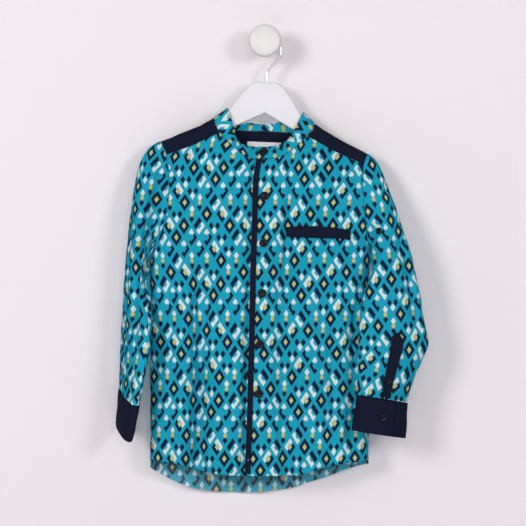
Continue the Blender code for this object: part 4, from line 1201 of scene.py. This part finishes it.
def make_welt():
    def face(u, v):
        top, low = WELT("top", u), WELT("low", u)
        return front_face(WELT("x", u), top + (low - top) * v)

    raised = moved_out(face, 1, THIN + 4 * SEAM)
    seams = ((0, 0.02, 0.1, 0.86, 30), (0, 0.98, 0.1, 0.86, 30), (1, 0.86, 0.02, 0.98, 120))
    ways = {"wall": THIN, "seams": seams, "sewn": ("welt_stitches", NAVY_THREAD, 0.05)}
    cloth("pocket_welt", raised, 1, (81, 13), (50, 12), NAVY_CLOTH, rolled, **ways)


# ------------ back, yoke and label


def back_seam(x):
    return BACK_YOKE_DROP + x * math.tan(TILT)


def back(u, v, folds=True):
    """The back's outer face: u from the left side to the right, v from the yoke to the hem."""
    high, low = BACK_YOKE_DROP, BACK_HEM("drop", 0)
    low_x = TORSO("centre", low) + TORSO("half", low) * np.sin(-math.pi / 2 + math.pi * u)
    ends = [float(angle_at(arm_x(side, high), high)) for side in SIDE]
    top = TORSO("centre", high) + TORSO("half", high) * np.sin(ends[0] + (ends[1] - ends[0]) * u)
    begin = back_seam(top) + SEAM / 2
    drop = begin + (BACK_HEM("drop", low_x) - begin) * v
    angle = between(side_angle("left", drop), side_angle("right", drop), u)
    near, far = even_side("left", drop), even_side("right", drop)
    eased = between(near, far, u)
    eased = eased + edge_turn("left", drop, far, u) + edge_turn("right", drop, near, 1 - u)
    points = torso(-1, between(angle, eased, smooth(v / EASED_FROM)), drop, folds)
    points[..., 1] -= SEAM / 2
    return points


def yoke_corner(side):
    """x and distance ahead of the corner where the back yoke seam meets the armhole."""
    x = ARMHOLE(side, 0)
    for _ in range(12):
        x = (x + arm_place(side, back_seam(x) - SEAM / 2 - RIDGE("drop", x))[0]) / 2
    return float(x), -float(ahead_of(back_seam(x) - SEAM / 2 - RIDGE("drop", x)))


def yoke(u, v):
    """The yoke's outer face, in the shape of a horseshoe: u runs along the neckline, as its way
    from one front seam to the other, and v from the neckline out to the armholes and the back."""
    step = 1e-3
    x, ahead = NECKLINE("x", u), NECKLINE("ahead", u)
    run_x = NECKLINE("x", u + step) - NECKLINE("x", u - step)
    run_ahead = NECKLINE("ahead", u + step) - NECKLINE("ahead", u - step)
    length = np.hypot(run_x, run_ahead)
    corners = {side: yoke_corner(side) for side in SIDE}
    behind = (u - BEHIND["left"]) / (BEHIND["right"] - BEHIND["left"])
    far_x = corners["left"][0] + (corners["right"][0] - corners["left"][0]) * behind
    far_ahead = -ahead_of(back_seam(far_x) - SEAM / 2 - RIDGE("drop", far_x))
    for side in SIDE:
        front_near, back_near = (float(NECKLINE("ahead", way[side])) for way in (JOINT, BEHIND))
        front_far = ahead_of(FRONT_YOKE_FALL[side] - SEAM / 2)
        front_part = ahead + (front_far - front_near) * (ahead / front_near) ** 3
        back_part = ahead + (corners[side][1] - back_near) * (ahead / back_near) ** 3
        arm_ahead = np.where(ahead > 0, front_part, back_part)
        there = u < BEHIND["left"] if side == "left" else u > BEHIND["right"]
        far_x = np.where(there, arm_place(side, fall_of(arm_ahead))[0], far_x)
        far_ahead = np.where(there, arm_ahead, far_ahead)
    x = x + NECK_GAP * run_ahead / length
    ahead = ahead - NECK_GAP * run_x / length
    return over(x + (far_x - x) * v, ahead + (far_ahead - ahead) * v)


def make_back():
    columns = lines(150, 330)
    cloth(
        "back", back, -1, (330, 390), (150, 170), PRINT_CLOTH,
        lambda points: hanging(points, len(columns) // 2), close=(0.974, 0.979), plain=lambda u,
        v: back(u, v, folds=False), **turned_hem(BACK_HEM)
    )


def make_yoke():
    stations = np.linspace(JOINT["left"], JOINT["right"], 170)
    columns = np.unique(np.concatenate([stations, [BEHIND["left"], BEHIND["right"]]]))
    share = (columns - columns[0]) / (columns[-1] - columns[0])
    cloth(
        "yoke", lambda u, v: yoke(columns[0] + (columns[-1] - columns[0]) * np.clip(u, 0, 1), v),
        -1, (560, 60), (3, 40), NAVY_CLOTH,
        lambda points: np.stack([points[..., 0], points[..., 1] * 1.5 - points[..., 2]], -1),
        columns=np.unique(np.concatenate([share, lines(3, 560)])),
    )


LABEL_WIDTH, LABEL_HIGH, LABEL_TOP = 43.0, 20.0, 126.0
LABEL_LEAN = 0.04


def make_label():
    """The blank label on the yoke's inner face, held by a row of stitches at each end."""

    def surface(u, v):
        x = -1.0 + LABEL_WIDTH * (u - 0.5)
        drop = LABEL_TOP + LABEL_HIGH * v + LABEL_LEAN * x
        points = torso_at(-1, x, drop, fullness_at(x, drop))
        puff = 0.9 * np.sin(math.pi * u) ** 0.5
        points[..., 1] += WALL + SEAM + THIN + puff
        return points

    size = (LABEL_WIDTH, LABEL_HIGH)
    cloth("neck_label", surface, 1, size, (40, 16), (SATIN, SATIN), rolled, wall=0.5)
    rows = [row_on(surface, 1, share, np.linspace(0.05, 0.95, 24), 0.0) for share in (0.05, 0.95)]
    stitch_rows("label_stitches", rows, WHITE_THREAD)


# ------------ collar


def collar(u, v):
    """The band's outer face: u once round the neck with the lap, v from the seam upwards."""
    x, ahead = NECKLINE("x", u), NECKLINE("ahead", u)
    seam = over(x, ahead)
    seam[..., 1] += SEAM / 2
    top = np.stack([COLLAR_TOP(name, u) for name in ("x", "out", "drop")], -1)
    bulge = np.stack([0 * u, COLLAR_TOP("bulge_out", u), -COLLAR_TOP("bulge_up", u)], -1)
    middle = (seam + top) / 2 + bulge
    v = v[..., None]
    points = (1 - v) ** 2 * seam + 2 * v * (1 - v) * middle + v**2 * top
    under = hidden(points[..., 0], 149.0) * (1 - smooth((u - 0.2) / 0.1))
    points[..., 1] -= LAP * under
    return points


def make_collar():
    cloth(
        "collar", collar, 1, (326, 18), (230, 26), (SHIRTING, SHIRTING), banded, puff=0.25,
        seams=((1, 0.86, 0.01, 0.99, 700),), sewn=("collar_stitches", BLUE_THREAD, 0.0),
    )


# ------------ sleeves, plackets, cuffs

SLEEVES = {  # each row is a section, given by its outer and inner ends, half its thickness and
    # the direction of that: 0 is straight ahead and 90 to the side
    "left": Table(
        "way outer_x outer_out outer_drop inner_x inner_out inner_drop thick turn",
        (0.00, -139.5, 20, 129.6, -149.0, 25, 281, 17, 0),
        (0.06, -146.0, 20.5, 133.0, -149.4, 26, 283, 18, 0),
        (0.12, -153.5, 22, 139.5, -149.6, 28, 287, 19, 2),
        (0.18, -159.0, 23, 154, -150.0, 33, 292, 19, 5),
        (0.25, -162.0, 23, 172, -149.5, 38, 300, 18, 10),
        (0.35, -166.0, 20, 203, -147.5, 47, 312, 16.5, 20),
        (0.48, -170.0, 16, 250, -145.5, 56, 330, 15, 36),
        (0.62, -174.0, 13, 305, -144.5, 66, 355, 13.5, 52),
        (0.75, -177.0, 11, 350, -145.5, 71, 384, 13, 60),
        (0.88, -180.0, 11, 398, -151.5, 72, 420, 11, 64),
        (1.00, -181.3, 12, 432.5, -157.7, 71, 455.0, 9.3, 67),
        (1.13, -184.3, 10, 477.0, -167.0, 72, 500.0, 8.6, 68),
    ),
    "right": Table(
        "way outer_x outer_out outer_drop inner_x inner_out inner_drop thick turn",
        (0.00, 137.5, 20, 146.0, 134.4, 25, 280, 17, 0),
        (0.06, 143.5, 20.5, 151.5, 135.2, 27, 282, 18, 0),
        (0.12, 149.5, 23, 163, 135.4, 33, 285, 19, 0),
        (0.19, 155.0, 27, 182, 133.5, 40, 291, 19, 0),
        (0.27, 162.5, 32, 206, 129.5, 46, 300, 19, 2),
        (0.36, 171.0, 37, 232, 125.0, 51, 312, 18.5, 4),
        (0.48, 183.0, 41, 270, 120.5, 54, 328, 18, 6),
        (0.60, 192.0, 43, 312, 118.0, 55, 346, 18, 8),
        (0.72, 198.5, 44, 350, 116.5, 55, 366, 17.5, 9),
        (0.80, 203.7, 45, 379.5, 116.0, 56, 384, 16.5, 10),
        (0.87, 194.0, 46, 404, 115.5, 57, 402, 16, 10),
        (1.00, 177.5, 47, 452, 113.7, 59, 442, 15.3, 11),
        (1.13, 175.3, 47, 497.0, 107.0, 61, 486.0, 14.5, 11),
    ),
}
SLEEVE_FOLDS = (  # long soft folds of the sleeves. A negative depth is a ridge
    # side, turn, from_way, to_way, width, depth
    ("left", 0.33, 0.08, 0.72, 0.03, 8.0), ("left", 0.20, 0.35, 1.10, 0.03, 1.6),
    ("left", 0.42, 0.40, 1.10, 0.03, -1.6), ("left", 0.72, 0.20, 0.95, 0.05, 2.5),
    ("right", 0.13, 0.30, 0.80, 0.028, 3.6), ("right", 0.07, 0.32, 0.80, 0.028, -1.6),
    ("right", 0.34, 0.10, 0.62, 0.035, 2.2), ("right", 0.40, 0.55, 1.10, 0.03, 2.0),
    ("right", 0.70, 0.20, 0.95, 0.05, 2.5),
)
ARM_GAP = 1.1  # between the body and the sleeve
ARM_BLEND = 0.26  # the way over which a sleeve passes from its armhole to its own sections


def section(table, side, u, way):
    """A point of a sleeve's section: u is 0 at its outer end, 1/4 in front, 1/2 at its inner end.
    It also returns the direction of the thickness."""
    outer, inner = (
        np.stack([table(f"{end}_{name}", way) for name in ("x", "out", "drop")], -1)
        for end in ("outer", "inner")
    )
    half = (outer - inner) / 2
    turn = np.radians(table("turn", way))
    across = np.stack([SIDE[side] * np.sin(turn), np.cos(turn), 0 * turn], -1)
    along = unit(half)
    across = unit(across - along * np.sum(across * along, -1, keepdims=True))
    round_way = (2 * math.pi * u)[..., None]
    thick = table("thick", way)[..., None]
    point = (outer + inner) / 2 + half * np.cos(round_way) + across * thick * np.sin(round_way)
    return point, across


def armhole(side, u):
    """The armhole's loop, u as in section()."""
    turn = 2 * math.pi * u
    drop = ARM_TOP[side] + (ARM_LOW - ARM_TOP[side]) * (1 - np.cos(turn)) / 2
    x = arm_x(side, drop)
    fullness = fullness_at(x, drop)
    front_side, back_side = (torso_at(face, x, drop, fullness) for face in (1, -1))
    points = np.where((np.sin(turn) >= 0)[..., None], front_side, back_side)
    points[..., 0] += SIDE[side] * ARM_GAP
    return points


def sleeve(side):
    def surface(u, v, folds=True):
        points, across = section(SLEEVES[side], side, u, v)
        if folds:
            for fold_side, turn, start, end, width, depth in SLEEVE_FOLDS:
                if fold_side != side:
                    continue
                reach = smooth((v - start) / 0.12) * smooth((end - v) / 0.12)
                shape = np.exp(-(((u - turn) / width) ** 2))
                front_side = 1 if turn < 0.5 else -1
                points = points - front_side * depth * (reach * shape)[..., None] * across
        blend = 1 - (1 - np.clip(v / ARM_BLEND, 0, 1)[..., None]) ** 2
        return armhole(side, u) * (1 - blend) + points * blend

    return surface


PLACKETS = {  # where on the sleeve each lies, and half its width as a share of the way round
    "left": (0.86, 0.75, 0.03),
    "right": (0.246, 0.745, 0.028),
}
CUFF_LAPS = {"left": 0.80, "right": 0.19}  # where the upper end of each cuff lies, as section()'s u
CUFF_OVERLAP = 0.13
CUFF_RAMP = 0.06
CUFF_TOP, CUFF_LOW = 1.003, 1.13  # ways of its edges
CUFF_LIFT = 0.3  # how far it stands out of the sleeve's sections
CUFF_LAP = WALL + 0.7  # and its upper end over its lower one


def cuff(side):
    """A cuff's outer face: its upper end is at u = 0, and its lower end lies under that."""

    def seated(u, v):
        along = CUFF_TOP + (CUFF_LOW - CUFF_TOP) * v
        turn = (CUFF_LAPS[side] + u * (1 + CUFF_OVERLAP)) % 1
        return section(SLEEVES[side], side, turn, along)[0]

    def surface(u, v):
        past = u * (1 + CUFF_OVERLAP) - CUFF_OVERLAP
        raised = CUFF_LIFT + CUFF_LAP * (1 - smooth(past / CUFF_RAMP))
        return seated(u, v) - raised[..., None] * inward(seated, u, v, -SIDE[side])

    return surface


def make_sleeves():
    for side, worn in (("left", "right"), ("right", "left")):
        towards = -SIDE[side]
        face = sleeve(side)
        cloth(
            f"sleeve_{worn}", face, towards, (200, 300), (121, 150), PRINT_CLOTH, along_arm(side),
            columns=np.unique(np.append(np.linspace(0, 1, 121), 0.5005)), plain=lambda u, v,
            face=face: face(u, v, folds=False), ring=True, seams=((1, 5 / 300),),
        )
        make_armhole_seam(side, worn, towards, face)
        make_cuff(side, worn, towards)
        make_placket(worn, side, face, towards)


def make_armhole_seam(side, worn, towards, face):
    """The sewn edges in the groove between the sleeve and the body."""
    around = np.linspace(0, 1, 181)[:-1]
    loop = face(around, np.zeros(len(around)))
    beside = np.full((1, len(around)), 0.012)
    loop = loop + inward(face, around[None], beside, towards)[0] * SEAM_DEEP
    loop[:, 0] -= SIDE[side] * ARM_GAP / 2
    name = f"armhole_seam_{worn}"
    seam = add(name, opened(tube(name, loop, SEAM_ROUND, closed=True)), BLUE_THREAD)


def make_cuff(side, worn, towards):
    seams = [(1, share, 0.03, 0.985, 260) for share in (0.1, 0.9)]
    cloth(
        f"cuff_{worn}", cuff(side), towards, (180, 44), (150, 30), NAVY_CLOTH, banded, puff=0.3,
        seams=[*seams, (0, 0.03, 0.1, 0.9, 60)], sewn=(f"cuff_stitches_{worn}", NAVY_THREAD, -0.05),
    )


def make_placket(worn, side, face, towards):
    """A navy strip on the sleeve, from its pointed upper end down to the cuff."""
    turn, top, half = PLACKETS[side]

    def lower(u, v):
        way = top + (0.994 - top) * v
        return face(turn + (2 * u - 1) * half * (0.4 + 0.6 * smooth(v / 0.12)), way)

    seams = [(0, share, 0.03, 0.98, 120) for share in (0.12, 0.88)]
    cloth(
        f"placket_{worn}", moved_out(lower, towards, THIN + 2 * SEAM), towards, (13, 82), (16, 70),
        NAVY_CLOTH, rolled, wall=THIN, seams=[*seams, (1, 0.2, 0.12, 0.88, 20)],
        sewn=(f"placket_stitches_{worn}", NAVY_THREAD, 0.05),
    )


# ------------ buttons

BUTTON = (  # a button's profile: radius and height, for one 10.8 mm across
    (0.0, 0.0), (4.4, 0.0), (5.1, 0.35), (5.4, 1.0), (5.3, 1.6), (4.9, 2.05), (4.4, 2.1),
    (4.05, 1.85), (3.7, 1.45), (3.2, 1.25), (1.6, 1.15), (0.0, 1.1),
)
BUTTON_SIZE = 10.8
HOLE_ROUND, HOLE_FROM_CENTRE = 0.62, 1.25
FRONT_BUTTONS = (  # x and drop
    (-0.4, 195.2), (-1.6, 253.9), (-3.6, 316.2), (-6.0, 379.6), (-7.5, 441.0),
)
COLLAR_BUTTON = (0.98, 0.55)  # u and v on the collar
PLACKET_BUTTON = (0.247, 0.935)  # u and v on the right sleeve
TAB_BUTTON = (0.270, 0.188)
BUTTON_SIZES = {"collar": 10.2, "cuff": 9.4, "placket": 6.5, "tab": 8.8}
BUTTON_GAP = 0.4


def turned(profile, sides):
    """A closed shape turned round the Z axis from its profile, in millimetres."""
    mesh = bmesh.new()
    points = [mesh.verts.new((radius, 0, high)) for radius, high in profile]
    edges = [mesh.edges.new(pair) for pair in zip(points, points[1:])]
    bmesh.ops.spin(
        mesh, geom=points + edges, axis=(0, 0, 1), cent=(0, 0, 0), angle=2 * math.pi, steps=sides,
        use_merge=True,
    )
    bmesh.ops.remove_doubles(mesh, verts=mesh.verts, dist=1e-4)
    bmesh.ops.recalc_face_normals(mesh, faces=mesh.faces)
    return mesh


def master_button():
    """A button lying at the origin, in millimetres: four holes, and thread crossing two by two."""
    disc = linked("button_disc", mesh_of("button_disc", turned(BUTTON, 56)))
    drills = bmesh.new()
    for corner in range(4):
        turn = math.pi / 4 + corner * math.pi / 2
        place = Vector((math.cos(turn), math.sin(turn), 0)) * HOLE_FROM_CENTRE * math.sqrt(2) * 0.9
        bmesh.ops.create_cone(
            drills, cap_ends=True, segments=14, radius1=HOLE_ROUND, radius2=HOLE_ROUND, depth=8,
            matrix=Matrix.Translation(place),
        )
    cutter = linked("button_drills", mesh_of("button_drills", drills))
    holes = disc.modifiers.new("holes", "BOOLEAN")
    holes.operation = "DIFFERENCE"
    holes.object = cutter
    graph = bpy.context.evaluated_depsgraph_get()
    mesh = opened(bpy.data.meshes.new_from_object(disc.evaluated_get(graph)))
    plastic = len(mesh.faces)
    turn = Matrix.Rotation(math.pi / 2, 4, "Y")
    for side in (-1, 1):
        count = len(mesh.verts)
        bmesh.ops.create_uvsphere(mesh, u_segments=8, v_segments=10, radius=0.5, matrix=turn)
        mesh.verts.ensure_lookup_table()
        thread = mesh.verts[count:]
        bmesh.ops.scale(mesh, verts=thread, vec=(3.1, 0.75, 1.3))
        bmesh.ops.translate(mesh, verts=thread, vec=(0, side * HOLE_FROM_CENTRE * 0.9, 1.05))
    mesh.faces.ensure_lookup_table()
    for face in mesh.faces[plastic:]:
        face.material_index = 1
    for thing in (disc, cutter):
        bpy.data.objects.remove(thing)
    return mesh_of("master_button", mesh)


def make_button(node, surface, u, v, towards, size=BUTTON_SIZE, gap=BUTTON_GAP, spin=0.0):
    u, v = np.array([float(u)]), np.array([float(v)])
    outward = -inward(surface, u, v, towards)[0]
    centre = Vector(metres(surface(u, v)[0] + outward * gap))
    turn = Vector(metres(outward)).to_track_quat("Z", "Y").to_matrix().to_4x4()
    mesh = opened(MASTER_BUTTON)
    scale = Matrix.Scale(MM * size / BUTTON_SIZE, 4)
    matrix = Matrix.Translation(centre) @ turn @ Matrix.Rotation(spin, 4, "Z") @ scale
    bmesh.ops.transform(mesh, matrix=matrix, verts=mesh.verts)
    stands_for(add(f"{node}_gloss", mesh, PLASTIC, NAVY_THREAD, angle=35), node, "button")


def make_buttons():
    make_button("button_1", collar, *COLLAR_BUTTON, 1, BUTTON_SIZES["collar"], spin=0.3)
    for number, (x, drop) in enumerate(FRONT_BUTTONS, 2):

        def face(u, v, x=x, drop=drop):
            return front_face(x + (u - 0.5) * 8, drop + (v - 0.5) * 8)

        make_button(f"button_{number}", face, 0.5, 0.5, 1, spin=0.7 * number)
    for side, worn in (("left", "right"), ("right", "left")):
        towards = 1 if side == "left" else -1
        lap = 0.5 * CUFF_OVERLAP / (1 + CUFF_OVERLAP)
        size = BUTTON_SIZES["cuff"]
        make_button(f"cuff_button_{worn}", cuff(side), lap, 0.5, towards, size, spin=0.4)
    face = sleeve("right")
    over_placket = THIN + 3 * SEAM
    sizes = BUTTON_SIZES
    make_button("placket_button_left", face, *PLACKET_BUTTON, -1, sizes["placket"], over_placket)
    make_button("tab_button_left", face, *TAB_BUTTON, -1, sizes["tab"], spin=0.9)


# ------------ hanger, hook, knob


def make_hanger():
    mesh = bmesh.new()
    bmesh.ops.create_grid(mesh, x_segments=120, y_segments=1, size=0.5)
    for vertex in mesh.verts:
        reach = 2 * vertex.co.x * HANGER_END
        top, under = HANGER("top", abs(reach)), HANGER("under", abs(reach))
        x, drop = tilted(reach, float(top + (under - top) * (vertex.co.y + 0.5)))
        vertex.co = metres(np.array((x, HANGER_OUT - HANGER_THICK / 2, drop)))
    bmesh.ops.translate(mesh, verts=extruded(mesh), vec=(0, -HANGER_THICK * MM, 0))
    bmesh.ops.recalc_face_normals(mesh, faces=mesh.faces)
    rims = [edge for edge in mesh.edges if edge.calc_face_angle(0) > math.radians(60)]
    rounded(mesh, rims, HANGER_ROUND * MM, 5, clamp_overlap=True)
    bmesh.ops.remove_doubles(mesh, verts=mesh.verts, dist=1e-6)
    stands_for(add("hanger_painted", mesh, WOOD_PAINT), "hanger", "painted_wood")


def hook_points():
    """x and drop along the hook's wire, from its tip over the knob's stem to the hanger."""
    centre_drop = HOOK_ROUND - STEM - SEAM - WIRE / 2

    def on_bend(angle):
        return (
            HOOK_CENTRE_X + HOOK_ROUND * math.cos(angle),
            centre_drop - HOOK_ROUND * math.sin(angle),
        )

    for step in range(23):
        yield on_bend(HOOK_TIP + (HOOK_LAST - HOOK_TIP) * step / 22)
    last = on_bend(HOOK_LAST)
    foot_x, foot = HANGER_AT[0] + 0.5, HANGER_AT[1] - SEAM
    beyond = (last[0] + 9 * math.sin(HOOK_LAST), last[1] + 9 * math.cos(HOOK_LAST))
    bend = (last, beyond, (foot_x, foot - 19), (foot_x, foot - 9))
    for step in range(1, 11):
        t = step / 10
        yield tuple(
            (1 - t) ** 3 * a + 3 * t * (1 - t) ** 2 * b + 3 * t**2 * (1 - t) * c + t**3 * d
            for a, b, c, d in zip(*bend)
        )
    yield foot_x, foot


def tube(name, points, radius, closed=False):
    """A mesh of round wire along points in millimetres."""
    curve = bpy.data.curves.new(name, "CURVE")
    curve.dimensions = "3D"
    curve.bevel_depth = radius * MM
    curve.bevel_resolution = 5 if radius > 1 else 2
    curve.use_fill_caps = not closed
    spline = curve.splines.new("POLY")
    spline.points.add(len(points) - 1)
    spline.use_cyclic_u = closed
    for point, place in zip(spline.points, metres(np.array(points))):
        point.co = (*place, 1)
    bent = linked(name, curve)
    graph = bpy.context.evaluated_depsgraph_get()
    wire = bpy.data.meshes.new_from_object(bent.evaluated_get(graph))
    bpy.data.objects.remove(bent)
    return wire


def make_hook():
    mesh = opened(tube("hook_wire", [(x, HANGER_OUT, drop) for x, drop in hook_points()], WIRE / 2))
    bmesh.ops.remove_doubles(mesh, verts=mesh.verts, dist=1e-6)
    bmesh.ops.recalc_face_normals(mesh, faces=mesh.faces)
    ends = [face for face in mesh.faces if len(face.verts) > 4]
    rounded(mesh, list({edge for face in ends for edge in face.edges}), 0.6 * MM, 3)
    stands_for(add("hook_polished", mesh, STEEL), "hook", "hook_steel")


def make_knob():
    mesh = turned([(0.0, 0.0), *KNOB_PROFILE], 96)
    corners = [edge for edge in mesh.edges if edge.calc_face_angle(0) > math.radians(14)]
    rounded(mesh, corners, 0.7, 3, clamp_overlap=True)
    turn = Matrix.Rotation(math.pi / 2, 4, "X") @ Matrix.Scale(MM, 4)
    bmesh.ops.transform(mesh, matrix=turn, verts=mesh.verts)
    stands_for(add("wall_knob_painted", mesh, KNOB_PAINT), "wall_knob", "painted_wood")


# ------------ wall, floor, lights, camera

EYE = (-0.0025, -2.4, -0.27875)  # level with the photograph's middle
LENS, SENSOR = 129.2, 36.0
FLOOR_AT = -1.15
UPRIGHT = Matrix.Rotation(math.pi / 2, 4, "X")


def stage_finish(name, colour):
    """Matt paint, with the faint unevenness of a rolled wall. It is seen from its front only."""
    colours = (colour, shaded(colour, 0.97))
    relief = (600.0, 2.0, 0.00005)
    material, n, shader = mottled(name, 0.9, (1.3, 2.0), colours, relief, Specular_IOR_Level=0.15)
    behind = n.put("NewGeometry").outputs["Backfacing"]
    clear = n.put("BsdfTransparent").outputs[0]
    one_sided = n.put("MixShader", behind, shader.outputs[0], clear)
    n.feed(material.node_tree.nodes["Material Output"].inputs["Surface"], one_sided.outputs[0])
    return material


def make_stage():
    for name, turn, place, colour in (
        ("back_wall", UPRIGHT, (0, 0.0006, 0), (0.945, 0.895, 0.925, 1)),
        ("floor", Matrix.Identity(4), (0, -3, FLOOR_AT), (0.90, 0.86, 0.885, 1)),
    ):
        mesh = bmesh.new()
        bmesh.ops.create_grid(mesh, x_segments=1, y_segments=1, size=3.0)
        bmesh.ops.transform(mesh, matrix=Matrix.Translation(place) @ turn, verts=mesh.verts)
        data = mesh_of(name, mesh)
        data.materials.append(stage_finish(f"{name}_paint", colour))
        thing = linked(name, data)
        thing.visible_shadow = False
        thing.visible_diffuse = name == "floor"


LIGHTS = (  # name, place, side in metres, watts
    ("left_box", (-1.7, -2.0, 0.45), 0.8, 28), ("right_box", (1.6, -2.1, 0.30), 0.7, 17),
    ("front_fill", (0.2, -3.2, 0.2), 1.4, 19), ("top", (0.1, -0.9, 1.5), 1.2, 1.5),
    ("behind", (0.0, 1.8, 0.4), 1.8, 24),
)


def make_lights():
    middle = Vector((0, 0, EYE[2]))
    for name, place, side, watts in LIGHTS:
        lamp = bpy.data.lights.new(name, "AREA")
        lamp.shape, lamp.size, lamp.energy = "SQUARE", side, watts
        thing = linked(name, lamp)
        thing.location = place
        thing.rotation_euler = (middle - Vector(place)).to_track_quat("-Z", "Y").to_euler()
    world = bpy.data.worlds.new("studio")
    world.use_nodes = True
    sky = world.node_tree.nodes["Background"]
    sky.inputs["Color"].default_value = (0.97, 0.96, 1.0, 1)
    sky.inputs["Strength"].default_value = 0.125
    bpy.context.scene.world = world


def make_camera():
    camera = bpy.data.cameras.new("camera")
    camera.lens, camera.sensor_width = LENS, SENSOR
    thing = linked("camera", camera)
    thing.location = EYE
    thing.rotation_euler = (math.pi / 2, 0, 0)
    bpy.context.scene.camera = thing
    bpy.context.scene.view_settings.view_transform = "Standard"


# ------------ run the model

MASTER_BUTTON = master_button()
make_camera()
make_strip()
make_fronts()
make_welt()
make_back()
make_yoke()
make_label()
make_collar()
make_sleeves()
make_buttons()
make_hanger()
make_hook()
make_knob()
make_stage()
make_lights()
